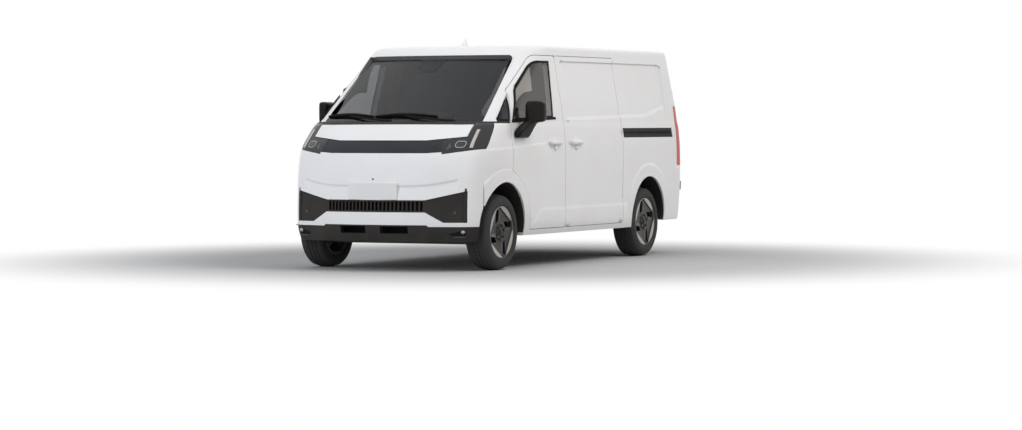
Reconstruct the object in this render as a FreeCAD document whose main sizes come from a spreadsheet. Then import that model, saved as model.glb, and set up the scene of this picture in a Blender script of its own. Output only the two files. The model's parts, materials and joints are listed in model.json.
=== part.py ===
"""Panel van: a parametric document of its panels, doors, cab, axles and wheels.

Frame: +X to the nose, +Y to the van's left, +Z up, origin on the ground at the middle of the length.
All sizes are millimetres.
"""
import FreeCAD, Part
import math
import os
from types import SimpleNamespace

import Sketcher
from FreeCAD import Placement, Rotation, Vector

# Driving sizes, one cell of the sheet each
SIZES = {
    # overall
    "wheelbase": 3112, "front_overhang": 670, "rear_overhang": 934, "step_reach": 60,
    "half_width": 967, "clearance": 256, "belt_height": 1300, "roof_height": 1990,
    "wall": 55, "shut_gap": 5, "seat_gap": 0.3, "swing_relief": 6,
    # plan and side curves of the body
    "bow_radius": 2050, "bonnet_setback": 405, "cowl_ledge": 20, "screen_run": 773,
    "shoulder_inset": 26, "tumblehome": 89, "tail_lean": 90, "tail_bow": 14, "side_bow": 5,
    "corner_run": 620, "corner_lead": 110, "corner_trail": 250,
    "pillar_run": 450, "pillar_lead": 80, "pillar_trail": 175, "tail_corner": 120,
    # side openings
    "door_front_setback": 136, "door_length": 1085, "door_bottom": 340, "door_top": 1895,
    "slider_length": 1282, "sill_bottom": 290, "tail_bottom": 335,
    "sash_foot_setback": 18, "sash_corner_setback": 167, "sash_corner_z": 1575, "sash_top_setback": 650,
    "door_corner": 40, "sash_corner": 220, "window_front": 60, "window_shoulder_setback": 252,
    "window_shoulder": 1590, "window_top_setback": 626, "window_bottom": 1312, "window_top": 1838,
    "window_rear_top": 945, "window_rear": 872, "window_rear_rise": 28, "window_corner": 35,
    "glass_thickness": 6,
    "screen_thickness": 10,
    "quarter_front_ahead": 4, "quarter_foot": 1312, "quarter_rear_back": 136, "quarter_tip_back": 253,
    "quarter_tip": 1520, "quarter_corner": 8, "pillar_width": 50,
    # pressed panel and slide rail
    "press_depth": 14, "press_lead": 85, "press_top": 1850, "press_bottom": 1304,
    "press_tail_setback": 494, "press_tail_low": 1425, "press_sweep_ahead": 10, "press_sweep_low": 1338,
    "press_corner": 45, "rail_lead": 28, "rail_tail_setback": 595, "rail_low": 1145,
    "rail_high": 1235, "rail_depth": 22, "rail_slant": 14,
    # arches and flares
    "arch_radius": 388, "arch_height": 382, "flare_radius": 500, 
    "liner_radius": 392, "liner_wall": 8, "liner_inboard": 505,
    "rear_liner_inboard": 600, 
    # front pieces
    "skirt_top": 390, "skirt_notch_top": 404, "skirt_notch_half": 500,
    "intake_inner": 72, "intake_outer": 333, "intake_low": 330, "intake_high": 392,
    "grille_mid_half": 484, "grille_half": 838, "grille_mid_top": 620, "grille_top": 700,
    "grille_mid_low": 514, "grille_low": 426, "grille_low_half": 640, "grille_set_in": 12,
    "slat_width": 14, 
    "band_low": 1025, "band_low_half": 470, "band_tip_low": 1034, "bonnet_low": 1136,
    "bonnet_flat_half": 430,
    "bonnet_half": 758, "bonnet_low_tip": 1169, "bonnet_seam_setback": 333, "bonnet_gap": 6,
    "cowl_low": 1283, "cowl_depth": 190,
    "lamp_tip_half": 603, "lamp_tip_low": 1016, "lamp_join_half": 580, "lamp_heel_half": 907,
    "lamp_heel_low": 1059, "lamp_heel_ahead": 285, "lamp_head_ahead": 74,
    "bumper_seam_ahead": 350, "bumper_seam_low": 690,
    # windscreen and roof
    "screen_base_half": 792, "screen_top_half": 722, "screen_top": 1895, "screen_foot": 1288,
    "screen_corner": 60, "screen_low_corner": 20, "roof_seam": 1905, "roof_wall": 45,
    "aerial_length": 210, "aerial_width": 60, "aerial_height": 72, "aerial_behind_axle": 1060,
    # tail
    "tail_door_half": 800, "tail_door_bottom": 725, "tail_door_top": 1885, "tail_door_corner": 70,
    "tail_door_gap": 8, "lamp_low": 867, "lamp_high": 1444, "lamp_depth": 30, "lamp_inner_half": 815,
    "lamp_wrap": 185, "step_low": 622, "step_high": 708, "step_half": 922,
    # door hinges and handles
    "hinge_block": 70, "hinge_low": 930,
    "hinge_high": 1060, "tail_hinge_low": 900, "tail_hinge_high": 1700, "hinge_root": 20,
    "hinge_skin": 16, "bonnet_hinge_y": 600,
    "handle_length": 215, "handle_height": 34, "handle_proud": 34, "handle_z": 1107,
    "handle_setback": 230, "lock_radius": 15, "lock_drop": 46, "lock_proud": 9, "grip_depth": 14,
    # mirrors
    "mirror_back": 350, "mirror_ahead": 155, "mirror_inner": 1000, "mirror_outer": 1140,
    "mirror_low": 1290, "mirror_high": 1482, "mirror_foot_low": 1150,
    "mirror_foot_high": 1212, "mirror_foot_front": 38, "mirror_foot_back": 265, "mirror_arm_back": 120,
    "mirror_round": 38, "mirror_taper": 64, "mirror_taper_run": 130,
    # cab and load space
    "floor_top": 470, "floor_thickness": 50, "bulkhead_setback": 1287, "bulkhead_thickness": 30,
    "board_rise": 6, "board_tail": 680, "board_half": 580, "board_wide_half": 800, "board_edge": 20,
    "firewall_thickness": 20, "dash_depth": 360, "dash_low": 780, "dash_high": 1268, "dash_knee": 1000,
    "dash_lip": 120, "dash_side_gap": 40, "wheel_rim_radius": 180, "wheel_rim_section": 15,
    "column_radius": 26, "column_length": 250, "helm_y": 400, "helm_setback": 270, "helm_height": 1130,
    "helm_tilt": 28,
    "seat_y": 400, "seat_width": 500, "seat_length": 470, "seat_top": 800, "seat_pad": 150,
    "seat_back": 110, "seat_back_high": 1440, 
    "seat_front_setback": 600, "seat_recline": 90, "seat_round": 35,
    "plinth_inset": 60, "recline_rise": 40,
    # heavy blocks
    "battery_half_length": 1000, "battery_half_width": 690, "battery_height": 120, "battery_round": 60,
    "motor_length": 400, "motor_low": 330, "motor_high": 640,
    "rail_half_gap": 415, "rail_width": 90, "rail_height": 90, "chassis_rail_low": 335,
    "chassis_rail_reach": 470,
    # wheels and axles
    "tyre_diameter": 662, "tyre_width": 225, "track": 1652, "tyre_shoulder": 34, "tyre_crown": 12,
    "rim_radius": 227, "rim_wall": 9, "rim_lip_width": 14,
    "face_inset": 22, "face_thickness": 26, "hub_radius": 74, "hub_depth": 90, "disc_radius": 155,
    "disc_thickness": 24, "spindle_radius": 28, "running_gap": 0.05, "cap_proud": 16,
    "spoke_gap_inner": 92, "spoke_gap_outer": 196, "spoke_gap_half_in": 16, "spoke_gap_half_out": 54,
    "spindle_length": 120, "kingpin_y": 742, "kingpin_radius": 16,
    "kingpin_height": 180, "knuckle_half": 38, "knuckle_height": 150, "arm_height": 36, "arm_half": 40,
    "arm_end": 28, "beam_radius": 38, "perch_half": 45,
}
SHEET = "Sizes"

# Shares of the height from the clearance to the belt, the bonnet's setback, the shoulder's inset and
# the tail's lean, at each level of the lower body
LOWER_SHARES = (
    (0.000, 0.111, 1.23, 0.78), (0.080, 0.007, 0.27, 0.50), (0.248, 0.000, 0.19, 0.22),
    (0.425, 0.032, 0.12, 0.00), (0.579, 0.062, 0.00, 0.00), (0.732, 0.148, 0.00, 0.06),
    (0.808, 0.296, 0.08, 0.11), (0.856, 0.432, 0.27, 0.11), (0.923, 0.635, 0.46, 0.17),
    (0.964, 0.765, 0.65, 0.22), (0.986, 0.864, 0.92, 0.22), (1.000, 1.000, 1.00, 0.28))
# Shares of the height from the belt to the roof, the screen's run, the tumblehome and the tail's lean
UPPER_SHARES = (
    (0.000, 0.000, 0.00, 0.28), (0.080, 0.095, 0.07, 0.30), (0.203, 0.242, 0.18, 0.33),
    (0.435, 0.517, 0.494, 0.50), (0.667, 0.793, 0.775, 0.72), (0.841, 1.000, 1.00, 0.89),
    (0.920, 1.100, 1.08, 0.95), (0.965, 1.190, 1.15, 1.00), (0.988, 1.300, 1.35, 1.20),
    (1.000, 1.520, 1.95, 1.80), (1.000, 1.950, 3.60, 3.40))
BOW_HALF_SHARE = 0.83
QUARTER_CIRCLE_SHARE = 0.5523
CORNER_BLEND_FROM_SHARE = 0.70
SLAT_COUNT = 25
BLADE_COUNT = 4
STEP_LIP_SHARES = (0.3, 0.6)
STEP_EDGE_SHARE = 0.33

doc = FreeCAD.newDocument("PanelVan")
sheet = doc.addObject("Spreadsheet::Sheet", SHEET)
for row, (alias, number) in enumerate(SIZES.items(), start=1):
    sheet.set(f"A{row}", alias)
    sheet.set(f"B{row}", str(number))
    sheet.setAlias(f"B{row}", alias)
doc.recompute()
v = SimpleNamespace(**{alias: float(sheet.get(alias)) for alias in SIZES})

# Places that follow from the driving sizes
v.length = v.front_overhang + v.wheelbase + v.rear_overhang
v.nose_x = v.length / 2
v.front_axle_x = v.nose_x - v.front_overhang
v.rear_axle_x = v.front_axle_x - v.wheelbase
v.tail_x = -v.length / 2 + v.step_reach
v.wheel_z = v.tyre_diameter / 2
v.door_front_x = v.front_axle_x - v.door_front_setback
v.door_rear_x = v.door_front_x - v.door_length
v.slider_rear_x = v.door_rear_x - v.slider_length
v.screen_base_x = v.nose_x - v.bonnet_setback - v.cowl_ledge
v.firewall_x = v.door_front_x
v.bulkhead_x = v.door_front_x - v.bulkhead_setback
FAR = v.length
TINY = v.seat_gap


class Size:
    """A length with the formula that ties it to the sheet."""

    def __init__(self, formula, value):
        self.formula = formula
        self.value = value

    def _join(self, sign, other, value):
        right = other.formula if isinstance(other, Size) else str(other)
        return Size(f"({self.formula} {sign} {right})", value)

    def __add__(self, other):
        return self._join("+", other, self.value + float(other))

    def __sub__(self, other):
        return self._join("-", other, self.value - float(other))

    def __mul__(self, other):
        return self._join("*", other, self.value * float(other))

    def __truediv__(self, other):
        return self._join("/", other, self.value / float(other))

    def __neg__(self):
        return Size(f"(0 - {self.formula})", -self.value)

    def __float__(self):
        return self.value


ZERO = Size("0", 0.0)
s = SimpleNamespace(**{alias: Size(f"{SHEET}.{alias}", getattr(v, alias)) for alias in SIZES})
s.nose_x = (s.front_overhang + s.wheelbase + s.rear_overhang) / 2
s.front_axle_x = s.nose_x - s.front_overhang
s.rear_axle_x = s.front_axle_x - s.wheelbase
s.wheel_z = s.tyre_diameter / 2
s.door_front_x = s.front_axle_x - s.door_front_setback


# Helpers: bound primitives

def bind(item, prop, size):
    """Tie one property of an object to the sheet."""
    item.setExpression(prop, size.formula)


def place(item, x, y, z, rotation=None):
    """Tie an object's base point to the sheet and turn it."""
    if rotation is not None:
        item.Placement = Placement(Vector(), rotation)
    for axis, size in zip("xyz", (x, y, z)):
        bind(item, f"Placement.Base.{axis}", size)
    return item


def bound_box(name, corner, length, width, height):
    item = doc.addObject("Part::Box", name)
    for prop, size in (("Length", length), ("Width", width), ("Height", height)):
        bind(item, prop, size)
    return place(item, *corner)


def bound_cylinder(name, radius, height, base, rotation=None):
    item = doc.addObject("Part::Cylinder", name)
    bind(item, "Radius", radius)
    bind(item, "Height", height)
    return place(item, *base, rotation)


def fuse(name, items):
    item = doc.addObject("Part::MultiFuse", name)
    item.Shapes = items
    item.Refine = True
    return item


def cut(name, base, tool):
    item = doc.addObject("Part::Cut", name)
    item.Base = base
    item.Tool = tool
    item.Refine = True
    return item


ALONG_Y = Rotation(Vector(1, 0, 0), -90)
AGAINST_Y = Rotation(Vector(1, 0, 0), 90)


# Helpers: sketches of a body, each point tied to the sheet

def origin_plane(body, role):
    return next(feature for feature in body.Origin.OriginFeatures if feature.Role == role)


def polygon_sketch(body, name, role, points):
    """A closed outline whose points are (Size, Size) pairs of the sketch's own X and Y."""
    sketch = body.newObject("Sketcher::SketchObject", name)
    sketch.AttachmentSupport = [(origin_plane(body, role), "")]
    sketch.MapMode = "FlatFace"
    ends = [Vector(float(across), float(up), 0) for across, up in points]
    count = len(points)
    for index in range(count):
        sketch.addGeometry(Part.LineSegment(ends[index], ends[(index + 1) % count]), False)
    for index in range(count):
        sketch.addConstraint(Sketcher.Constraint("Coincident", index, 2, (index + 1) % count, 1))
    for index, pair in enumerate(points):
        for kind, size in zip(("DistanceX", "DistanceY"), pair):
            if size is ZERO:
                on_axis = -2 if kind == "DistanceX" else -1
                sketch.addConstraint(Sketcher.Constraint("PointOnObject", index, 1, on_axis))
                continue
            number = sketch.addConstraint(
                Sketcher.Constraint(kind, -1, 1, index, 1, float(size)))
            sketch.setExpression(f"Constraints[{number}]", size.formula)
    return sketch


def pad(body, name, sketch, length, midplane=False):
    feature = body.newObject("PartDesign::Pad", name)
    feature.Profile = sketch
    feature.Midplane = midplane
    bind(feature, "Length", length)
    doc.recompute()
    return feature


# Helpers: free shapes of the curved panels

def prism(points, radius, axis, start, stop, grow=0.0):
    """An outline with rounded corners, grown all round, drawn across the axis and pushed along it."""
    spots = [Vector(*lift(point, axis, start)) for point in points]
    count = len(spots)
    ends = []
    for index, spot in enumerate(spots):
        size = radius[index] if isinstance(radius, (list, tuple)) else radius
        if size <= 0:
            ends.append((spot, None, spot))
            continue
        back = (spots[index - 1] - spot).normalize()
        ahead = (spots[(index + 1) % count] - spot).normalize()
        half = back.getAngle(ahead) / 2
        reach = size / math.tan(half)
        middle = (back + ahead).normalize() * (size / math.sin(half) - size)
        ends.append((spot + back * reach, spot + middle, spot + ahead * reach))
    edges = []
    for index, (first, middle, last) in enumerate(ends):
        if middle is not None:
            edges.append(Part.Arc(first, middle, last).toShape())
        following = ends[(index + 1) % count][0]
        if last.distanceToPoint(following) > TINY / 2:
            edges.append(Part.LineSegment(last, following).toShape())
    face = Part.Face(Part.Wire(edges))
    if grow:
        face = face.makeOffset2D(grow)
    push = {"x": Vector(1, 0, 0), "y": Vector(0, 1, 0), "z": Vector(0, 0, 1)}[axis] * (stop - start)
    return face.extrude(push)


def lift(point, axis, level):
    first, second = point
    return {"x": (level, first, second), "y": (first, level, second), "z": (first, second, level)}[axis]


def block(x_low, x_high, y_low, y_high, z_low, z_high):
    return Part.makeBox(x_high - x_low, y_high - y_low, z_high - z_low, Vector(x_low, y_low, z_low))


def tube_y(x, z, radius, y_low, y_high):
    return Part.makeCylinder(radius, y_high - y_low, Vector(x, y_low, z), Vector(0, 1, 0))


def mirrored(shape):
    """The same shape on the van's right side."""
    return shape.mirror(Vector(0, 0, 0), Vector(0, 1, 0))


def both_sides(points):
    """A left-hand outline closed by its own mirror image across the middle plane."""
    return list(points) + [(-across, up) for across, up in reversed(points) if across]


def mix(low, high, share):
    return low + (high - low) * share


def bow(start, end, rise):
    """Poles of a shallow curve between two points, drawn out at its middle by a rise."""
    third = (end - start) / 3
    return [start, start + third + rise * 4 / 3, end - third + rise * 4 / 3, end]


def section(z, nose, half, tail, run, lead, trail, corner, inset):
    """Poles of one level outline of the body: bowed nose, blended corners, sides, round tail."""
    nose, half, tail = nose - inset, half - inset, tail + inset
    bow_half = half * BOW_HALF_SHARE
    bow_drop = bow_half ** 2 / (2 * v.bow_radius)
    slope = Vector(-bow_half / v.bow_radius, 1, 0).normalize()
    corner = max(corner - inset, inset)
    round_off = corner * QUARTER_CIRCLE_SHARE

    def right(poles):
        return [Vector(pole.x, -pole.y, pole.z) for pole in reversed(poles)]

    front = Vector(nose - bow_drop, bow_half, z)
    flank = Vector(nose - run, half, z)
    side_end = Vector(tail + corner, half, z)
    tail_end = Vector(tail, half - corner, z)
    left = [
        [front, front + slope * lead, flank + Vector(trail, 0, 0), flank],
        bow(flank, side_end, Vector(0, v.side_bow, 0)),
        [side_end, side_end - Vector(round_off, 0, 0), tail_end + Vector(0, round_off, 0), tail_end]]
    nose_arc = bow(right([front])[0], front, Vector(bow_drop, 0, 0))
    tail_arc = bow(tail_end, right([tail_end])[0], Vector(-v.tail_bow, 0, 0))
    return [nose_arc, *left, tail_arc, *(right(poles) for poles in reversed(left))]


def skin(sections):
    """A closed solid through the outlines' poles, smooth from level to level."""
    count = len(sections)
    knots = list(range(count - 2))
    mults = [4] + [1] * (count - 4) + [4]
    faces = []
    ends = ([], [])
    for part in range(len(sections[0])):
        poles = [[level[part][index] for level in sections] for index in range(4)]
        surface = Part.BSplineSurface()
        surface.buildFromPolesMultsKnots(poles, [4, 4], mults, [0, 1], knots, False, False, 3, 3)
        faces.append(surface.toShape())
        for end, level in zip(ends, (knots[0], knots[-1])):
            end.append(surface.vIso(level).toShape())
    faces += [Part.Face(Part.Wire(end)) for end in ends]
    shell = Part.Shell(faces)
    shell.sewShape()
    solid = Part.Solid(shell)
    solid.fix(TINY / 100, TINY / 100, TINY / 100)
    return solid


def lower_body(inset=0.0):
    """The body from its lower edge to the belt, drawn in from the outside by an inset."""
    levels = []
    for height, setback, shoulder, lean in LOWER_SHARES:
        blend = max(0.0, (height - CORNER_BLEND_FROM_SHARE) / (1 - CORNER_BLEND_FROM_SHARE))
        levels.append(section(
            mix(v.clearance, v.belt_height, height),
            v.nose_x - setback * v.bonnet_setback,
            v.half_width - shoulder * v.shoulder_inset,
            v.tail_x + lean * v.tail_lean,
            mix(v.corner_run, v.pillar_run, blend), mix(v.corner_lead, v.pillar_lead, blend),
            mix(v.corner_trail, v.pillar_trail, blend), v.tail_corner, inset))
    return skin(levels)


def upper_body(inset=0.0, roof_inset=0.0):
    """The body from its belt to the roof."""
    top = v.roof_height - roof_inset
    levels = [section(
        mix(v.belt_height, top, height), v.screen_base_x - run * v.screen_run,
        v.half_width - v.shoulder_inset - lean_in * v.tumblehome,
        v.tail_x + lean * v.tail_lean,
        v.pillar_run, v.pillar_lead, v.pillar_trail, v.tail_corner, inset)
        for height, run, lean_in, lean in UPPER_SHARES]
    return skin(levels)


def panel(name, shape):
    """A node whose curved shape is worked out here from the sheet's sizes."""
    item = doc.addObject("Part::Feature", name)
    item.Label = name
    item.Shape = shape
    item.Placement = Placement()
    return item


def union(shapes):
    return shapes[0].multiFuse(shapes[1:]) if len(shapes) > 1 else shapes[0]


def minus(shape, *tools):
    return shape.cut(list(tools))


# The whole body, hollow inside, with its pressed side panels

LEFT = (0, FAR)

press_x = v.rear_axle_x - v.press_tail_setback
press_outline = [
    (v.door_rear_x - v.press_lead, v.press_bottom), (v.door_rear_x - v.press_lead, v.press_top),
    (press_x, v.press_top), (press_x, v.press_tail_low),
    (v.rear_axle_x + v.press_sweep_ahead, v.press_sweep_low)]
press_prism = prism(press_outline, v.press_corner, "y", *LEFT)
press_prism = union([press_prism, mirrored(press_prism)])

outer_lower, outer_upper = lower_body(), upper_body()
outer_upper = minus(outer_upper, minus(press_prism, upper_body(v.press_depth)))
inner_lower, inner_upper = lower_body(v.wall), upper_body(v.wall, v.roof_wall)
trim_lower, trim_upper = lower_body(v.wall + TINY), upper_body(v.wall + TINY, v.roof_wall + TINY)
shell_lower = minus(outer_lower, inner_lower)
shell_upper = minus(outer_upper, inner_upper)

arches = union([
    tube_y(x, v.arch_height, v.arch_radius, low, low + FAR)
    for x in (v.front_axle_x, v.rear_axle_x) for low in (v.liner_inboard, -v.liner_inboard - FAR)])
flare_tube = tube_y(v.front_axle_x, v.arch_height, v.flare_radius, 0, FAR)
under_sill = block(-FAR, v.front_axle_x, -FAR, FAR, 0, v.sill_bottom)
under_tail = block(-FAR, v.rear_axle_x, -FAR, FAR, 0, v.tail_bottom)
shell_lower = minus(shell_lower, arches, under_sill, under_tail)
shell = union([shell_lower, shell_upper])


def skin_y(x, z):
    """How far out the body's left side stands at a place."""
    body = outer_lower if z < v.belt_height else outer_upper
    probe = Part.makeLine(Vector(x, 0, z), Vector(x, FAR, z))
    return body.common(probe).BoundBox.YMax


# Outlines of the openings

half_gap = v.shut_gap / 2
front_door_outline = [
    (v.door_rear_x, v.door_bottom), (v.door_rear_x, v.door_top),
    (v.door_front_x - v.sash_top_setback, v.door_top),
    (v.door_front_x - v.sash_corner_setback, v.sash_corner_z),
    (v.door_front_x - v.sash_foot_setback, v.belt_height), (v.door_front_x, v.cowl_low - v.wall),
    (v.door_front_x, v.door_bottom)]
front_door_radii = [v.door_corner, v.door_corner, v.sash_corner, v.door_corner, 0, v.door_corner, 0]
door_opening_radii = [v.door_corner, 0, *front_door_radii[2:]]
slider_outline = [
    (v.slider_rear_x, v.door_bottom), (v.slider_rear_x, v.door_top),
    (v.door_rear_x, v.door_top), (v.door_rear_x, v.door_bottom)]
window_outline = [
    (v.door_front_x - v.window_rear, v.window_bottom + v.window_rear_rise),
    (v.door_front_x - v.window_rear_top, v.window_top),
    (v.door_front_x - v.window_top_setback, v.window_top),
    (v.door_front_x - v.window_shoulder_setback, v.window_shoulder),
    (v.door_front_x - v.window_front, v.window_bottom)]
quarter_outline = [
    (v.front_axle_x + v.quarter_front_ahead, v.quarter_foot),
    (v.front_axle_x - v.quarter_rear_back, v.quarter_foot),
    (v.front_axle_x - v.quarter_tip_back, v.quarter_tip)]
tail_door_outline = [
    (0, v.tail_door_bottom), (v.tail_door_half, v.tail_door_bottom),
    (v.tail_door_half, v.tail_door_top), (0, v.tail_door_top)]
tail_door_radii = [0, v.tail_door_corner, v.tail_door_corner, 0]
screen_outline = [
    (-v.screen_base_half, v.screen_foot), (-v.screen_top_half, v.screen_top),
    (v.screen_top_half, v.screen_top), (v.screen_base_half, v.screen_foot)]
screen_radii = [v.screen_low_corner, v.screen_corner, v.screen_corner, v.screen_low_corner]
TAIL = (-FAR, v.tail_x + v.tail_corner + v.tail_lean)
NOSE = (v.front_axle_x - v.screen_run, FAR)


def left_prism(outline, radius, grow=0.0):
    """A side outline pushed out through the left side, from outboard of the windscreen."""
    return prism(outline, radius, "y", v.screen_top_half, FAR, grow)


def pillar_guard(grow=0.0):
    """The windscreen and the pillar beside it, which no side opening reaches."""
    return prism(screen_outline, screen_radii, "x", *NOSE, v.pillar_width - grow)


def door_space(grow, radii):
    """The front door's outline through the left side, following the arch's flare."""
    whole = left_prism(front_door_outline, radii, grow)
    flare = tube_y(v.front_axle_x, v.arch_height, v.flare_radius - grow, 0, FAR)
    return minus(whole, flare, pillar_guard(grow))


door_opening = door_space(half_gap, door_opening_radii)
slider_opening = left_prism(slider_outline, v.door_corner, half_gap)
tail_opening = prism(tail_door_outline, tail_door_radii, "x", *TAIL, half_gap)
quarter_space = minus(left_prism(quarter_outline, v.quarter_corner), pillar_guard())
screen_space = prism(screen_outline, screen_radii, "x", *NOSE)

rail_rear_x = v.rear_axle_x - v.rail_tail_setback
rail_outline = [
    (v.slider_rear_x - v.rail_lead, v.rail_low), (v.slider_rear_x - v.rail_lead + v.rail_slant, v.rail_high),
    (rail_rear_x + v.rail_slant, v.rail_high), (rail_rear_x, v.rail_low)]
rail_space = left_prism(rail_outline, 0)
lamp_block = minus(
    block(*TAIL, v.lamp_inner_half, FAR, v.lamp_low, v.lamp_high),
    block(v.tail_x + v.lamp_wrap, FAR, 0, FAR, 0, FAR))


def outer_skin(depth):
    """The outermost layer of the whole body, as deep as asked."""
    return union([minus(outer_lower, lower_body(depth)), minus(outer_upper, upper_body(depth, depth))])


rail_skin = outer_skin(v.rail_depth)
lamp_skin = outer_skin(v.lamp_depth)
tail_lamp = lamp_skin.common(lamp_block)
slide_rail = rail_skin.common(rail_space)
LEFT_HALF = block(-FAR, FAR, 0, FAR, 0, FAR)


# Side frames: rear quarter, tail pillar and sill of each side

quarter_region = minus(
    block(-FAR, v.door_rear_x, 0, FAR, 0, v.roof_seam), block(*TAIL, 0, v.tail_door_half, 0, FAR))
sill_region = minus(
    block(v.slider_rear_x, v.front_axle_x, 0, FAR, 0, v.door_bottom - half_gap), flare_tube)
tail_beam = block(*TAIL, -v.tail_door_half, v.tail_door_half, 0, v.tail_door_bottom - half_gap)
side_left = minus(
    shell.common(union([quarter_region, sill_region])), slider_opening, door_opening, tail_opening,
    slide_rail, tail_lamp)
panel("side_left", side_left)
panel("side_right", mirrored(side_left))

# Roof with the windscreen pillars

roof_region = union([
    block(-FAR, FAR, -FAR, FAR, v.roof_seam, FAR), block(v.door_rear_x, FAR, -FAR, FAR, v.belt_height, FAR),
    block(*TAIL, -v.tail_door_half, v.tail_door_half, v.tail_door_top, FAR)])
roof = minus(
    shell_upper.common(roof_region), door_opening, mirrored(door_opening), screen_space,
    quarter_space, mirrored(quarter_space), tail_opening, mirrored(tail_opening))
panel("roof", roof)

screen_glass = minus(outer_upper, upper_body(v.screen_thickness, v.screen_thickness)).common(screen_space)
panel("windscreen", screen_glass)
side_glass_skin = minus(outer_upper, upper_body(v.glass_thickness, v.glass_thickness))
quarter_glass = side_glass_skin.common(quarter_space)
panel("quarter_glasses", Part.makeCompound([quarter_glass, mirrored(quarter_glass)]))
panel("slide_rails", Part.makeCompound([slide_rail, mirrored(slide_rail)]))
panel("tail_lamps", Part.makeCompound([tail_lamp, mirrored(tail_lamp)]))

# Sliding doors: the outer face stands off by the shut line, the inner half meets the frame

slider_inner = union([
    minus(lower_body(v.wall / 2), inner_lower), minus(upper_body(v.wall / 2), inner_upper)])


def handle(x, z):
    """A pull handle with its lock below, standing out of a door's skin."""
    level = skin_y(x, z)
    grip = block(
        x - v.handle_length / 2, x + v.handle_length / 2, level - v.grip_depth, level + v.handle_proud,
        z - v.handle_height / 2, z + v.handle_height / 2)
    long_edges = [edge for edge in grip.Edges if edge.Length > v.handle_proud + v.grip_depth + TINY]
    grip = grip.makeFillet(v.grip_depth, long_edges)
    lock = tube_y(x, z - v.lock_drop, v.lock_radius, level - v.grip_depth, level + v.lock_proud)
    return [grip, lock]


slider = shell.common(left_prism(slider_outline, v.door_corner, -half_gap))
slider_lap = minus(
    slider_inner.common(left_prism(slider_outline, v.door_corner, half_gap)),
    block(v.door_rear_x - half_gap, FAR, 0, FAR, 0, FAR))
slider = union([slider, slider_lap, *handle(v.door_rear_x - v.handle_setback + v.shut_gap, v.handle_z)])
panel("sliding_door_left", slider)
panel("sliding_door_right", mirrored(slider))

# Front panels, cut from the lower shell ahead of the door

def bowed(setback, start=0.0):
    """All that lies ahead of the nose's own bow, drawn back by a setback."""
    x = v.nose_x - setback
    drop = v.half_width ** 2 / (2 * v.bow_radius)
    arc = Part.Arc(Vector(x - drop, -v.half_width, start), Vector(x, 0, start),
                   Vector(x - drop, v.half_width, start)).toShape()
    corners = [Vector(x - drop, v.half_width, start), Vector(FAR, v.half_width, start),
               Vector(FAR, -v.half_width, start), Vector(x - drop, -v.half_width, start)]
    return Part.Face(Part.Wire([arc, *Part.makePolygon(corners).Edges])).extrude(Vector(0, 0, FAR))


def front_view(points, grow=0.0):
    """A front-view outline given for the left half, mirrored and pushed along the nose."""
    return prism(both_sides(points), 0, "x", *NOSE, grow)


heel_x = v.front_axle_x + v.lamp_heel_ahead
head_x = v.front_axle_x + v.lamp_head_ahead
bumper_seam_x = v.front_axle_x + v.bumper_seam_ahead
lamp_slope = (v.lamp_heel_low - v.lamp_tip_low) / (v.lamp_heel_half - v.lamp_tip_half)
lamp_side_low = v.lamp_tip_low + lamp_slope * (v.half_width - v.lamp_tip_half)
bonnet_side = v.bonnet_half + v.bonnet_gap

bonnet_outline = [
    (0, v.bonnet_low), (v.bonnet_flat_half, v.bonnet_low), (v.bonnet_half, v.bonnet_low_tip),
    (v.bonnet_half, v.belt_height + v.wall), (0, v.belt_height + v.wall)]
bonnet = shell_lower.common(front_view(bonnet_outline)).common(bowed(v.bonnet_seam_setback))
bonnet_hole = front_view(bonnet_outline, v.bonnet_gap).common(
    bowed(v.bonnet_seam_setback + v.bonnet_gap))
bonnet_tongue = minus(
    shell_lower.common(bowed(v.bonnet_seam_setback + v.bonnet_gap - v.seat_gap)), outer_skin(v.hinge_skin),
    bowed(v.bonnet_seam_setback - v.hinge_root))
tongue_slot = block(
    0, FAR, v.bonnet_hinge_y, v.bonnet_hinge_y + v.hinge_block, v.bonnet_low, v.belt_height)
bonnet_tongue = bonnet_tongue.common(union([tongue_slot, mirrored(tongue_slot)]))
panel("bonnet", union([bonnet, bonnet_tongue]))

lamp_front = prism([
    (v.lamp_tip_half, v.lamp_tip_low), (v.half_width + v.wall, lamp_side_low + lamp_slope * v.wall),
    (v.half_width + v.wall, v.cowl_low), (bonnet_side, v.cowl_low),
    (v.bonnet_half - v.cowl_depth, v.cowl_low), (v.lamp_join_half, v.bonnet_low)], 0, "x", *NOSE)
lamp_side = prism([
    (heel_x, v.lamp_tip_low - v.wall), (heel_x, v.lamp_heel_low), (head_x, v.cowl_low),
    (FAR, v.cowl_low), (FAR, v.lamp_tip_low - v.wall)], 0, "y", 0, FAR)
bonnet_front = bowed(v.bonnet_seam_setback + v.bonnet_gap)
cowl_core = minus(
    block(v.door_front_x + half_gap, FAR, -bonnet_side, bonnet_side,
          v.belt_height - v.cowl_depth, v.belt_height), bonnet_front)
lamp_space = minus(lamp_front.common(lamp_side), bonnet_hole, cowl_core)
lamp = shell_lower.common(lamp_space)
panel("headlamp_left", lamp)
panel("headlamp_right", mirrored(lamp))

band_outline = [
    (0, v.band_low), (v.band_low_half, v.band_low), (v.lamp_tip_half, v.band_tip_low),
    (v.lamp_join_half, v.bonnet_low + v.wall), (0, v.bonnet_low + v.wall)]
band_space = minus(front_view(band_outline), bonnet_hole, lamp_space, mirrored(lamp_space))
panel("nose_band", shell_lower.common(band_space))

cowl_ends = block(v.door_front_x + half_gap, FAR, -FAR, FAR, v.cowl_low, v.belt_height)
cowl_region = minus(union([cowl_core, cowl_ends]), bonnet_hole)
panel("cowl_trim", minus(shell_lower.common(cowl_region), door_opening, mirrored(door_opening)))

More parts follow.
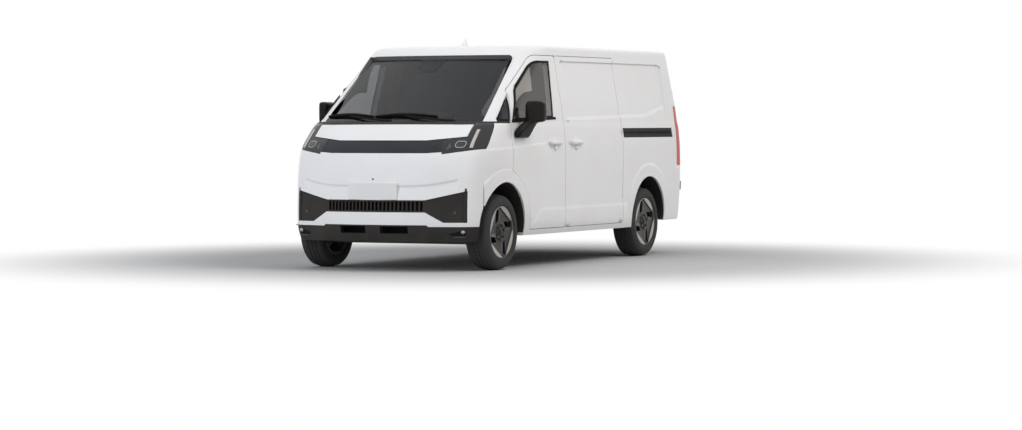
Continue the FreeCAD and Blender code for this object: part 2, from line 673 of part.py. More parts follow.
notch_foot = v.skirt_notch_half + (v.skirt_notch_top - v.skirt_top)
skirt_outline = [
    (0, 0), (FAR, 0), (FAR, v.skirt_top), (notch_foot, v.skirt_top),
    (v.skirt_notch_half, v.skirt_notch_top), (0, v.skirt_notch_top)]
skirt_space = front_view(skirt_outline).common(block(v.front_axle_x, FAR, -FAR, FAR, 0, FAR))
intake = block(*NOSE, v.intake_inner, v.intake_outer, v.intake_low, v.intake_high)
panel("front_skirt", minus(shell_lower.common(skirt_space), intake, mirrored(intake)))

grille_outline = [
    (0, v.grille_mid_low), (v.grille_mid_half, v.grille_mid_low), (v.grille_low_half, v.grille_low),
    (v.grille_half, v.grille_low), (v.grille_half, v.grille_top), (v.grille_mid_half, v.grille_mid_top),
    (0, v.grille_mid_top)]
grille_space = front_view(grille_outline).common(block(v.front_axle_x, FAR, -FAR, FAR, 0, FAR))
grille = minus(shell_lower.common(grille_space), outer_skin(v.grille_set_in))
slot_pitch = 2 * (v.grille_mid_half - v.slat_width) / SLAT_COUNT
slots = [
    block(*NOSE, low, low + slot_pitch - v.slat_width,
          v.grille_mid_low + v.slat_width, v.grille_mid_top - v.slat_width)
    for low in (-v.grille_mid_half + v.slat_width * 3 / 2 + slot_pitch * index
                for index in range(SLAT_COUNT))]
panel("lower_grille", minus(grille, *slots))

bumper_region = prism([
    (heel_x, v.belt_height), (heel_x, v.lamp_heel_low), (bumper_seam_x, v.bumper_seam_low),
    (bumper_seam_x, 0), (FAR, 0), (FAR, v.belt_height)], 0, "y", -FAR, FAR)
bumper_top = block(0, FAR, -FAR, FAR, 0, v.bonnet_low)
bumper = minus(
    shell_lower.common(bumper_region).common(bumper_top), skirt_space, grille_space, lamp_space,
    mirrored(lamp_space), front_view(band_outline), bonnet_hole)
panel("front_bumper", bumper)

wing_region = minus(
    block(v.front_axle_x - v.flare_radius, heel_x + v.wall, 0, FAR, 0, v.cowl_low), bumper_region,
    skirt_space, lamp_space, bonnet_hole,
    block(v.front_axle_x, FAR, 0, bonnet_side, v.bonnet_low, v.belt_height))
wing = minus(shell_lower.common(wing_region), door_opening, sill_region)
panel("wing_left", wing)
panel("wing_right", mirrored(wing))

# Front doors with their glass and mirrors

tongues = [
    block(v.door_front_x - half_gap - v.hinge_root, v.door_front_x + half_gap - v.seat_gap,
          skin_y(v.door_front_x, low) - v.wall + v.hinge_skin, skin_y(v.door_front_x, low) - v.hinge_skin,
          low, low + v.hinge_block)
    for low in (v.hinge_low, v.hinge_high)]
window_space = minus(
    left_prism(window_outline, v.window_corner), pillar_guard(-v.window_corner))
swing_relief = union([lower_body(v.wall / 2), upper_body(v.wall / 2)]).common(
    block(v.door_rear_x, v.door_rear_x + half_gap + v.swing_relief, 0, FAR, 0, FAR))
front_door = minus(
    shell.common(door_space(-half_gap, front_door_radii)), window_space, swing_relief)
front_door = union([
    front_door, *tongues, *handle(v.door_rear_x + v.handle_setback - v.shut_gap, v.handle_z)])
panel("front_door_left", front_door)
panel("front_door_right", mirrored(front_door))
door_glass = side_glass_skin.common(window_space)
panel("door_glass_left", door_glass)
panel("door_glass_right", mirrored(door_glass))

mirror_front_x = v.door_front_x - v.mirror_ahead
mirror_rear_x = v.door_front_x - v.mirror_back
head = prism([
    (v.mirror_inner, v.mirror_low), (v.mirror_outer, v.mirror_low), (v.mirror_outer, v.mirror_high),
    (v.mirror_inner, v.mirror_high)], v.mirror_round, "x", mirror_rear_x, mirror_front_x)
front_edges = [edge for edge in head.Edges if edge.BoundBox.XMin > mirror_front_x - TINY]
head = minus(head.makeFillet(v.mirror_round, front_edges), prism([
    (mirror_front_x - v.mirror_taper_run, v.mirror_outer),
    (mirror_front_x + v.mirror_taper_run, v.mirror_outer - v.mirror_taper * 2),
    (mirror_front_x + v.mirror_taper_run, FAR), (mirror_front_x - v.mirror_taper_run, FAR)], 0, "z", 0, FAR))
foot_front = v.door_front_x - v.mirror_foot_front
foot_side = prism([
    (foot_front, v.mirror_foot_high), (foot_front, v.mirror_foot_low),
    (v.door_front_x - v.mirror_foot_back, v.mirror_foot_low),
    (mirror_rear_x + v.mirror_arm_back / 2, v.mirror_low + v.mirror_round),
    (mirror_front_x - v.mirror_arm_back / 2, v.mirror_low + v.mirror_round)], 0, "y", 0, FAR)
foot_rise = v.mirror_outer - v.mirror_round
foot_front_view = prism([
    (v.half_width - v.wall / 2, v.mirror_foot_low), (v.half_width + v.mirror_round, v.mirror_foot_low),
    (foot_rise, v.mirror_low + v.mirror_round), (v.mirror_inner, v.mirror_low + v.mirror_round),
    (v.half_width - v.wall / 2, v.mirror_foot_high)], 0, "x", *NOSE)
foot = minus(foot_side.common(foot_front_view), lower_body(-TINY))
mirror = union([head, foot])
panel("mirror_left", mirror)
panel("mirror_right", mirrored(mirror))

# Tail doors, bumper beam and step

tail_half = minus(
    shell.common(prism(tail_door_outline, tail_door_radii, "x", *TAIL, -half_gap)),
    block(*TAIL, -FAR, v.tail_door_gap / 2, 0, FAR))
tail_tongues = minus(
    union([block(*TAIL, v.tail_door_half - half_gap - v.hinge_root, v.tail_door_half + half_gap - v.seat_gap,
                 low, low + v.hinge_block) for low in (v.tail_hinge_low, v.tail_hinge_high)]),
    minus(LEFT_HALF, lower_body(v.hinge_skin), upper_body(v.hinge_skin, v.roof_wall)),
    lower_body(v.wall - v.hinge_skin), upper_body(v.wall - v.hinge_skin, v.roof_wall))
tail_door = union([tail_half, tail_tongues])
panel("tail_door_left", tail_door)
panel("tail_door_right", mirrored(tail_door))
panel("tail_beam", shell.common(tail_beam))
step_lip_x = v.tail_x - v.step_reach - v.tail_bow
step_profile = prism([
    (0, v.step_high), (v.tail_x - v.step_reach * STEP_EDGE_SHARE, v.step_high),
    (step_lip_x, mix(v.step_low, v.step_high, STEP_LIP_SHARES[1])),
    (step_lip_x, mix(v.step_low, v.step_high, STEP_LIP_SHARES[0])),
    (v.tail_x - v.step_reach * STEP_EDGE_SHARE, v.step_low), (0, v.step_low)],
    0, "y", -v.step_half, v.step_half)
step = minus(lower_body(v.tail_bow - v.step_reach).common(step_profile), lower_body(-TINY))
panel("rear_step", step.common(block(*TAIL, -FAR, FAR, 0, FAR)))

# Roof aerial

aerial_x = v.front_axle_x - v.aerial_behind_axle
fin = prism([
    (aerial_x + v.aerial_length / 2, v.roof_height - v.roof_wall / 2),
    (aerial_x - v.aerial_length / 2, v.roof_height + v.aerial_height),
    (aerial_x - v.aerial_length / 2, v.roof_height - v.roof_wall / 2)], 0, "y",
    -v.aerial_width / 2, v.aerial_width / 2)
panel("roof_aerial", minus(fin, upper_body(-TINY, -TINY)))

# Cab and load space

cab_inside = union([trim_lower, trim_upper])
floor_region = block(-FAR, v.firewall_x, -FAR, FAR, v.floor_top - v.floor_thickness, v.floor_top)
liner_cuts = union([
    tube_y(v.rear_axle_x, v.arch_height, v.liner_radius + v.liner_wall + TINY, low, low + FAR)
    for low in (v.rear_liner_inboard - TINY, -v.rear_liner_inboard + TINY - FAR)]
    + [tube_y(v.front_axle_x, v.arch_height, v.liner_radius + v.liner_wall + TINY, low, low + FAR)
       for low in (v.liner_inboard - TINY, -v.liner_inboard + TINY - FAR)])
board_rear = v.rear_axle_x - v.board_tail
board_step = v.rear_axle_x + v.liner_radius + v.board_edge
board_front = v.bulkhead_x - v.bulkhead_thickness - v.board_edge
load_board = prism([
    (board_rear, -v.board_half), (board_step, -v.board_half), (board_step, -v.board_wide_half),
    (board_front, -v.board_wide_half), (board_front, v.board_wide_half), (board_step, v.board_wide_half),
    (board_step, v.board_half), (board_rear, v.board_half)], 0, "z",
    v.floor_top - v.floor_thickness / 2, v.floor_top + v.board_rise)
panel("floor", union([minus(trim_lower.common(floor_region), liner_cuts), load_board]))
bulkhead_region = block(
    v.bulkhead_x - v.bulkhead_thickness, v.bulkhead_x, -FAR, FAR, v.floor_top + TINY, FAR)
panel("bulkhead", cab_inside.common(bulkhead_region))
firewall_region = union([
    block(v.firewall_x, v.firewall_x + v.firewall_thickness, -FAR, FAR, v.rail_height + v.chassis_rail_low,
          v.belt_height - v.cowl_depth / 2),
    block(v.firewall_x, FAR, -FAR, FAR, v.belt_height - v.cowl_depth / 2,
          v.belt_height - v.cowl_depth / 2 + v.firewall_thickness)])
panel("firewall", minus(trim_lower.common(firewall_region), liner_cuts, bonnet_front))
dash_outline = [
    (v.firewall_x - TINY, v.dash_low), (v.firewall_x - TINY, v.belt_height - v.cowl_depth / 2 - TINY),
    (v.firewall_x - TINY, v.dash_high), (v.firewall_x - v.dash_depth + v.dash_lip, v.dash_high),
    (v.firewall_x - v.dash_depth, v.dash_high - v.dash_lip / 2), (v.firewall_x - v.dash_depth, v.dash_knee),
    (v.firewall_x - v.dash_lip, v.dash_low)]
dash_body = lower_body(v.wall + v.dash_side_gap).common(prism(dash_outline, 0, "y", -FAR, FAR))
dash_top = lower_body(v.wall + v.dash_side_gap).common(block(
    v.firewall_x - v.dash_lip, FAR, -FAR, FAR, v.belt_height - v.cowl_depth / 2 + v.firewall_thickness + TINY,
    v.dash_high))
panel("dashboard", union([dash_body, dash_top]))

# Wheel arch liners

def liner(x, inboard):
    """One arch liner: a half drum over the wheel, closed on its inboard side."""
    drum_top = block(x - FAR, x + FAR, 0, FAR, v.arch_height, FAR)
    body = minus(
        tube_y(x, v.arch_height, v.liner_radius + v.liner_wall, inboard, FAR),
        tube_y(x, v.arch_height, v.liner_radius, inboard + v.liner_wall, FAR))
    return body.common(drum_top).common(trim_lower)


rear_liner = liner(v.rear_axle_x, v.rear_liner_inboard)
front_liner = liner(v.front_axle_x, v.liner_inboard)
panel("rear_arch_liners", Part.makeCompound([rear_liner, mirrored(rear_liner)]))
panel("front_arch_liners", Part.makeCompound([front_liner, mirrored(front_liner)]))


# Wheels, axles, knuckles and heavy blocks: primitives and sketches bound to the sheet

def tyre(name, x, y):
    """A tyre turned about its axle from one section."""
    body = doc.addObject("PartDesign::Body", name)
    outer, inner = s.tyre_diameter / 2, s.rim_radius + s.seat_gap
    low_shoulder = outer - s.tyre_shoulder
    section_points = [
        (inner, ZERO), (low_shoulder, ZERO), (outer - s.tyre_crown, s.tyre_crown),
        (outer, s.tyre_shoulder), (outer, s.tyre_width - s.tyre_shoulder),
        (outer - s.tyre_crown, s.tyre_width - s.tyre_crown), (low_shoulder, s.tyre_width),
        (inner, s.tyre_width)]
    sketch = polygon_sketch(body, f"{name}_section", "XY_Plane", section_points)
    turned = body.newObject("PartDesign::Revolution", f"{name}_turned")
    turned.Profile = sketch
    turned.ReferenceAxis = (sketch, ["V_Axis"])
    turned.Angle = 360
    doc.recompute()
    place(body, x, y - s.tyre_width / 2, s.wheel_z)
    return body


def rim(name, x, y, side):
    """A wheel rim: barrel, spoked face and hub, with a brake disc behind."""
    body = doc.addObject("PartDesign::Body", name)
    outer, width = s.rim_radius, s.tyre_width
    face_low = width - s.face_inset - s.face_thickness
    bore = s.spindle_radius + s.running_gap
    inner = outer - s.rim_wall
    section_points = [
        (bore, face_low - s.hub_depth), (s.disc_radius, face_low - s.hub_depth),
        (s.disc_radius, face_low - s.hub_depth + s.disc_thickness),
        (s.hub_radius, face_low - s.hub_depth + s.disc_thickness), (s.hub_radius, face_low),
        (inner, face_low), (inner, s.rim_lip_width), (outer, s.rim_lip_width),
        (outer, width - s.rim_lip_width), (inner, width - s.rim_lip_width),
        (inner, face_low + s.face_thickness), (s.hub_radius, face_low + s.face_thickness),
        (s.hub_radius - s.cap_proud, face_low + s.face_thickness + s.cap_proud / 2),
        (bore, face_low + s.face_thickness + s.cap_proud / 2)]
    sketch = polygon_sketch(body, f"{name}_section", "XY_Plane", section_points)
    turned = body.newObject("PartDesign::Revolution", f"{name}_turned")
    turned.Profile = sketch
    turned.ReferenceAxis = (sketch, ["V_Axis"])
    turned.Angle = 360
    doc.recompute()
    gap_points = [
        (s.spoke_gap_inner, -s.spoke_gap_half_in), (s.spoke_gap_outer, -s.spoke_gap_half_out),
        (s.spoke_gap_outer, s.spoke_gap_half_out), (s.spoke_gap_inner, s.spoke_gap_half_in)]
    window = polygon_sketch(body, f"{name}_window", "XZ_Plane", gap_points)
    opening = body.newObject("PartDesign::Pocket", f"{name}_opening")
    opening.Profile = window
    opening.Type = "Length"
    opening.Midplane = True
    bind(opening, "Length", s.tyre_width * 2)
    doc.recompute()
    ring = body.newObject("PartDesign::PolarPattern", f"{name}_openings")
    ring.Originals = [opening]
    ring.Axis = (origin_plane(body, "Y_Axis"), [""])
    ring.Angle = 360
    ring.Occurrences = BLADE_COUNT
    body.Tip = ring
    doc.recompute()
    place(body, x, y + (s.tyre_width / 2) * -side, s.wheel_z,
          None if side > 0 else Rotation(Vector(0, 0, 1), 180))
    return body


def knuckle(name, side):
    """A steering knuckle: an upright bored for the kingpin, with the wheel's spindle."""
    half = s.track / 2
    upright = bound_box(
        f"{name}_upright", (s.front_axle_x - s.knuckle_half, s.kingpin_y * side - s.knuckle_half,
                            s.wheel_z - s.knuckle_height / 2),
        s.knuckle_half * 2, s.knuckle_half * 2, s.knuckle_height)
    spindle = bound_cylinder(
        f"{name}_spindle", s.spindle_radius, s.spindle_length,
        (s.front_axle_x, s.kingpin_y * side + (s.knuckle_half - s.seat_gap) * side, s.wheel_z),
        ALONG_Y if side > 0 else AGAINST_Y)
    bore = bound_cylinder(
        f"{name}_bore", s.kingpin_radius + s.running_gap, s.knuckle_height * 2,
        (s.front_axle_x, s.kingpin_y * side, s.wheel_z - s.knuckle_height), None)
    return cut(name, fuse(f"{name}_solid", [upright, spindle]), bore)


for side, hand in ((1, "left"), (-1, "right")):
    for axle_x, axle in ((s.front_axle_x, "front"), (s.rear_axle_x, "rear")):
        tyre(f"tyre_{axle}_{hand}", axle_x, s.track / 2 * side)
        rim(f"rim_{axle}_{hand}", axle_x, s.track / 2 * side, side)
    knuckle(f"knuckle_{hand}", side)
doc.recompute()

# Front subframe: rails, cross beam and kingpins; the motor block sits on the rails

rail_x = s.door_front_x
rail_length = s.chassis_rail_reach
beam_z = s.wheel_z - s.knuckle_height / 2 - s.seat_gap - s.arm_height
pieces = []
for side, hand in ((1, "left"), (-1, "right")):
    rail_y = s.rail_half_gap if side > 0 else -s.rail_half_gap - s.rail_width
    pieces.append(bound_box(
        f"chassis_rail_{hand}", (rail_x, rail_y, s.chassis_rail_low), rail_length, s.rail_width,
        s.rail_height))
    pieces.append(bound_box(
        f"rail_drop_{hand}", (s.front_axle_x - s.arm_half, rail_y, beam_z), s.arm_half * 2, s.rail_width,
        s.chassis_rail_low - beam_z + s.seat_gap))
    pieces.append(bound_cylinder(
        f"kingpin_{hand}", s.kingpin_radius, s.kingpin_height + s.arm_height,
        (s.front_axle_x, s.kingpin_y * side, beam_z), None))
pieces.append(bound_box(
    "front_cross_beam", (s.front_axle_x - s.arm_half, -s.kingpin_y - s.arm_end, beam_z),
    s.arm_half * 2, (s.kingpin_y + s.arm_end) * 2, s.arm_height))
fuse("front_subframe", pieces)

spindle_reach = s.track / 2 + s.knuckle_half
rear_pieces = [
    bound_cylinder("rear_beam", s.beam_radius, s.kingpin_y * 2 - s.knuckle_half * 2,
                   (s.rear_axle_x, s.knuckle_half - s.kingpin_y, s.wheel_z), ALONG_Y),
    bound_cylinder("rear_spindles", s.spindle_radius, spindle_reach * 2,
                   (s.rear_axle_x, -spindle_reach, s.wheel_z), ALONG_Y)]
for side, hand in ((1, "left"), (-1, "right")):
    rear_pieces.append(bound_box(
        f"axle_perch_{hand}", (
            s.rear_axle_x - s.perch_half, s.rail_half_gap * side - s.perch_half, s.wheel_z),
        s.perch_half * 2, s.perch_half * 2, s.floor_top - s.floor_thickness - s.wheel_z))
fuse("rear_axle", rear_pieces)

def rounded(body, name, base, radius, keep):
    """Round those edges of a body's solid that a test keeps."""
    edges = [f"Edge{index}" for index, edge in enumerate(base.Shape.Edges, start=1)
             if keep(edge.BoundBox)]
    feature = body.newObject("PartDesign::Fillet", name)
    feature.Base = (base, edges)
    bind(feature, "Radius", radius)
    doc.recompute()
    return feature


battery = doc.addObject("PartDesign::Body", "battery_pack")
block_pad = pad(battery, "battery_block", polygon_sketch(battery, "battery_plan", "XY_Plane", [
    (-s.battery_half_length, -s.battery_half_width), (s.battery_half_length, -s.battery_half_width),
    (s.battery_half_length, s.battery_half_width), (-s.battery_half_length, s.battery_half_width)]),
    s.battery_height)
rounded(battery, "battery_corners", block_pad, s.battery_round,
        lambda bounds: bounds.ZLength > v.battery_height - TINY)
place(battery, (s.front_axle_x + s.rear_axle_x) / 2, ZERO, s.floor_top - s.floor_thickness - s.battery_height)

motor_half = s.rail_half_gap - s.seat_gap
bound_box("motor_block", (s.door_front_x + s.firewall_thickness + s.shut_gap, -motor_half, s.motor_low),
          s.motor_length, motor_half * 2, s.motor_high - s.motor_low)


# Seats: one pad of the side outline of cushion, squab and head restraint

def seat(name, y):
    body = doc.addObject("PartDesign::Body", name)
    cushion_low = s.seat_top - s.seat_pad
    back = s.seat_length
    lean = s.seat_recline
    outline = [
        (ZERO, cushion_low), (back, cushion_low), (back + s.seat_back, cushion_low),
        (back + s.seat_back + lean, s.seat_back_high), (back + lean, s.seat_back_high),
        (back, s.seat_top), (ZERO, s.seat_top - s.recline_rise)]
    outline = [(-across, up) for across, up in outline]
    sketch = polygon_sketch(body, f"{name}_outline", "XZ_Plane", outline)
    seat_pad = pad(body, f"{name}_pad", sketch, s.seat_width, True)
    rounded(body, f"{name}_round", seat_pad, s.seat_round,
            lambda bounds: bounds.YLength > v.seat_width - TINY)
    place(body, s.door_front_x - s.seat_front_setback, y, ZERO)
    return body


seat("driver_seat", s.seat_y)
seat("passenger_seat", -s.seat_y)
plinths = [
    bound_box(f"plinth_{hand}", (
        s.door_front_x - s.seat_front_setback - s.seat_length + s.plinth_inset,
        s.seat_y * side - s.seat_width / 2 + s.plinth_inset, s.floor_top),
        s.seat_length - s.plinth_inset * 2, s.seat_width - s.plinth_inset * 2,
        s.seat_top - s.seat_pad - s.floor_top - s.seat_gap)
    for side, hand in ((1, "left"), (-1, "right"))]
fuse("seat_plinths", plinths)

helm_turn = Rotation(Vector(0, 1, 0), 90 + v.helm_tilt)
helm_rim = doc.addObject("Part::Torus", "helm_ring")
bind(helm_rim, "Radius1", s.wheel_rim_radius)
bind(helm_rim, "Radius2", s.wheel_rim_section)
helm_place = (s.door_front_x - s.dash_depth - s.helm_setback / 2, s.helm_y, s.helm_height)
place(helm_rim, *helm_place, helm_turn)
helm_spokes = [helm_rim]
spoke_turns = (AGAINST_Y, ALONG_Y, Rotation(Vector(0, 1, 0), 90))
for number, turn in enumerate(spoke_turns, start=1):
    helm_spokes.append(bound_cylinder(
        f"helm_spoke_{number}", s.wheel_rim_section, s.wheel_rim_radius, helm_place,
        helm_turn.multiply(turn)))
helm_spokes.append(bound_cylinder(
    "helm_hub", s.column_radius * 2, s.column_radius * 2, helm_place, helm_turn))
helm_spokes.append(bound_cylinder("helm_column", s.column_radius, s.column_length, helm_place, helm_turn))
cut("steering_wheel", fuse("helm_whole", helm_spokes), doc.getObject("dashboard"))
doc.recompute()

# Check every object, then write the nodes

NODES = [item.Label for item in doc.Objects if item.TypeId == "Part::Feature"] + [
    f"{kind}_{axle}_{hand}" for kind in ("tyre", "rim") for axle in ("front", "rear")
    for hand in ("left", "right")] + [
    "knuckle_left", "knuckle_right", "front_subframe", "rear_axle", "battery_pack", "motor_block",
    "driver_seat", "passenger_seat", "seat_plinths", "steering_wheel"]
faults = [item.Label for item in doc.Objects if {"Invalid", "Error"} & set(item.State)]
nodes = {name: doc.getObjectsByLabel(name)[0] for name in NODES}
faults += [name for name, item in nodes.items() if item.Shape.isNull() or not item.Shape.isValid()]
if faults:
    raise RuntimeError(f"These objects failed: {', '.join(faults)}")
os.makedirs("parts", exist_ok=True)
for name, item in nodes.items():
    item.Shape.exportStep(f"parts/{name}.step")
print(f"{len(nodes)} nodes written")
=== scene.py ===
"""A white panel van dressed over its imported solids: paint, lamps, wheels, trim, cab and load space.

Frame: metres, +X to the nose, +Y to the van's left, +Z up, origin on the ground under the middle.
"""

import json
import logging
import math
from dataclasses import dataclass
from enum import Enum
from typing import Callable, Iterable, Optional, Sequence

import bmesh
import bpy
from mathutils import Matrix, Vector
from mathutils.bvhtree import BVHTree

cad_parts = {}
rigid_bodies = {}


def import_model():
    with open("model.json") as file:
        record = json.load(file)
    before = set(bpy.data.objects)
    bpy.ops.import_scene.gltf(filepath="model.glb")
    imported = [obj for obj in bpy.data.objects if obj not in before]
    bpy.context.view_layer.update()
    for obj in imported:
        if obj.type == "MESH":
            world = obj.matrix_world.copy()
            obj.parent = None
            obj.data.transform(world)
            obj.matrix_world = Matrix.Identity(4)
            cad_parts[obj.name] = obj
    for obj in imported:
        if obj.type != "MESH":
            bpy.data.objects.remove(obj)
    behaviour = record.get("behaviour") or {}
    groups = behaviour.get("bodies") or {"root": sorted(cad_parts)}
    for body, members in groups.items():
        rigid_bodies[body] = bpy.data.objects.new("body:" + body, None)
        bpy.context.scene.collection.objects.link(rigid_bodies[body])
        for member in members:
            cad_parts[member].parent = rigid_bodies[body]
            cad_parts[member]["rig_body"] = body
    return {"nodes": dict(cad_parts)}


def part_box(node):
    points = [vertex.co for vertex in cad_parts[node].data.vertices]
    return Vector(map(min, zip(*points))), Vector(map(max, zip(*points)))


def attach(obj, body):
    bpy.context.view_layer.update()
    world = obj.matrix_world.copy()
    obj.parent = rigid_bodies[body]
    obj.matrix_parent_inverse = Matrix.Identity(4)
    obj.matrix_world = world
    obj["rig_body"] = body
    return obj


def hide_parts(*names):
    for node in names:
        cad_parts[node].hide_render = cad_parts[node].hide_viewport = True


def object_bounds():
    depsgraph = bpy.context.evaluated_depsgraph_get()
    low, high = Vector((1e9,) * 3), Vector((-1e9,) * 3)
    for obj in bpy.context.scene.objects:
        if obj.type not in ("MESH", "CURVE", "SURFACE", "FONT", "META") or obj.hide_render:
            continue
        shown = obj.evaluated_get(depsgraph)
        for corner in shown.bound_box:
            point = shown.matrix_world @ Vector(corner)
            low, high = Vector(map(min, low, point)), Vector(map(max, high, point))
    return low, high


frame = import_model()
CAD_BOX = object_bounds()
log = logging.getLogger("van")

Point2 = tuple[float, float]
Point3 = tuple[float, float, float]
Mesh = bmesh.types.BMesh
Socket = bpy.types.NodeSocket
HANDS = ("left", "right")
WELD = 1e-6      # points nearer than this become one
THROW = 4.0      # how far outside the van a ray starts
JUMP = 0.02      # a step in a panel that a band bridges flat
MITRE = 0.35     # the least that a border's corner is narrowed by
FACING = 0.35    # how squarely a face has to look a way to count
SECTION = 28     # corners of a handle's or the aerial's section
SIDEWAYS = Vector((1, 0, 0))
WIPER_UP = Vector((1, 0, 0.6))
ROAD_DUST = (0.34, 0.31, 0.27)


# Finishes

class Texture(Enum):
    """How a finish's surface varies."""

    GRAIN = "grain"
    WEAVE = "weave"
    GLASS = "glass"


class Graph:
    """A node tree being wired up."""

    def __init__(self, tree: bpy.types.NodeTree) -> None:
        """Start on the shader or geometry tree to fill."""
        self.tree = tree

    def node(self, kind: str, inputs: Optional[dict] = None, **settings: object) -> bpy.types.Node:
        """Add a node.

        Args:
            kind: the node's type name.
            inputs: socket name or index to a value, or to an output socket to link from.
            settings: properties of the node itself.

        Returns:
            The new node.
        """
        made = self.tree.nodes.new(kind)
        for key, value in settings.items():
            setattr(made, key, value)
        for key, value in (inputs or {}).items():
            if isinstance(value, Socket):
                self.tree.links.new(value, made.inputs[key])
            else:
                made.inputs[key].default_value = value
        return made

    def link(self, source: Socket, target: Socket) -> None:
        """Wire an output to an input."""
        self.tree.links.new(source, target)

    def math(self, operation: str, first: object, second: object = 0.0) -> Socket:
        """Add a math node and return its output."""
        return self.node("ShaderNodeMath", {0: first, 1: second}, operation=operation).outputs[0]

    def ramp(self, value: object, low: float, high: float) -> Socket:
        """A smooth rise from 0 to 1 as a value goes from low to high."""
        return self.node("ShaderNodeMapRange", {0: value, 1: low, 2: high},
                         interpolation_type="SMOOTHSTEP").outputs[0]


def shader_group(name: str, inputs: dict[str, float], outputs: dict[str, str],
                 fill: Callable[[Graph, dict, dict], None]) -> bpy.types.NodeTree:
    """Build a shader group once.

    Args:
        name: the group's name.
        inputs: each input's name and default number.
        outputs: each output's name and socket type.
        fill: wires the group, given its graph, input sockets and output sockets.

    Returns:
        The node group.
    """
    if name in bpy.data.node_groups:
        return bpy.data.node_groups[name]
    tree = bpy.data.node_groups.new(name, "ShaderNodeTree")
    for label, number in inputs.items():
        socket = tree.interface.new_socket(label, in_out="INPUT", socket_type="NodeSocketFloat")
        socket.default_value = number
    for label, kind in outputs.items():
        tree.interface.new_socket(label, in_out="OUTPUT", socket_type=kind)
    graph = Graph(tree)
    entry, leave = graph.node("NodeGroupInput"), graph.node("NodeGroupOutput")
    fill(graph, entry.outputs, leave.inputs)
    return tree


def surface_noise() -> bpy.types.NodeTree:
    """Fine grain: a height for bump and a slow mask for sheen.

    Returns:
        The group, with Height and Patch outputs.
    """
    def fill(graph: Graph, given: dict, made: dict) -> None:
        """Wire the grain.

        Args:
            graph: the group's tree.
            given: its input sockets.
            made: its output sockets.
        """
        spot = graph.node("ShaderNodeTexCoord").outputs["Object"]
        fine = graph.node("ShaderNodeTexNoise", {"Vector": spot, "Scale": given["Grain Scale"],
                                                 "Detail": 3.0, "Roughness": 0.6})
        slow = graph.node("ShaderNodeTexNoise", {"Vector": spot, "Scale": given["Patch Scale"],
                                                 "Detail": 4.0})
        graph.link(fine.outputs["Fac"], made["Height"])
        graph.link(graph.ramp(slow.outputs["Fac"], 0.35, 0.7), made["Patch"])
    return shader_group("surface_grain", {"Grain Scale": 400.0, "Patch Scale": 3.0},
                        {"Height": "NodeSocketFloat", "Patch": "NodeSocketFloat"}, fill)


def road_film() -> bpy.types.NodeTree:
    """Road film: a mask that grows towards the ground, broken up by noise.

    Returns:
        The group, with a Film output.
    """
    def fill(graph: Graph, given: dict, made: dict) -> None:
        """Wire the film.

        Args:
            graph: the group's tree.
            given: its input sockets.
            made: its output sockets.
        """
        spot = graph.node("ShaderNodeTexCoord").outputs["Object"]
        height = graph.node("ShaderNodeSeparateXYZ", {0: spot}).outputs["Z"]
        low = graph.math("SUBTRACT", 1.0, graph.ramp(height, 0.12, 0.75))
        blots = graph.node("ShaderNodeTexNoise", {"Vector": spot, "Scale": 5.0, "Detail": 6.0})
        film = graph.math("MULTIPLY", low, graph.ramp(blots.outputs["Fac"], 0.3, 0.75))
        graph.link(graph.math("MULTIPLY", film, given["Amount"]), made["Film"])
    return shader_group("road_film", {"Amount": 0.2}, {"Film": "NodeSocketFloat"}, fill)


def cloth_weave() -> bpy.types.NodeTree:
    """Woven cloth: crossing threads as height, and a mask between two yarns.

    Returns:
        The group, with Height and Yarn outputs.
    """
    def fill(graph: Graph, given: dict, made: dict) -> None:
        """Wire the threads.

        Args:
            graph: the group's tree.
            given: its input sockets.
            made: its output sockets.
        """
        spot = graph.node("ShaderNodeTexCoord").outputs["Object"]
        threads = [graph.node("ShaderNodeTexWave", {"Vector": spot, "Scale": given["Threads"],
                                                    "Distortion": 0.6, "Detail": 1.0},
                              bands_direction=way).outputs["Fac"] for way in ("X", "Y", "Z")]
        weave = graph.math("MAXIMUM", graph.math("MULTIPLY", threads[0], threads[1]), threads[2])
        mottle = graph.node("ShaderNodeTexNoise", {"Vector": spot, "Scale": 60.0, "Detail": 5.0})
        graph.link(weave, made["Height"])
        graph.link(graph.math("MULTIPLY", weave, mottle.outputs["Fac"]), made["Yarn"])
    return shader_group("cloth_weave", {"Threads": 160.0},
                        {"Height": "NodeSocketFloat", "Yarn": "NodeSocketFloat"}, fill)


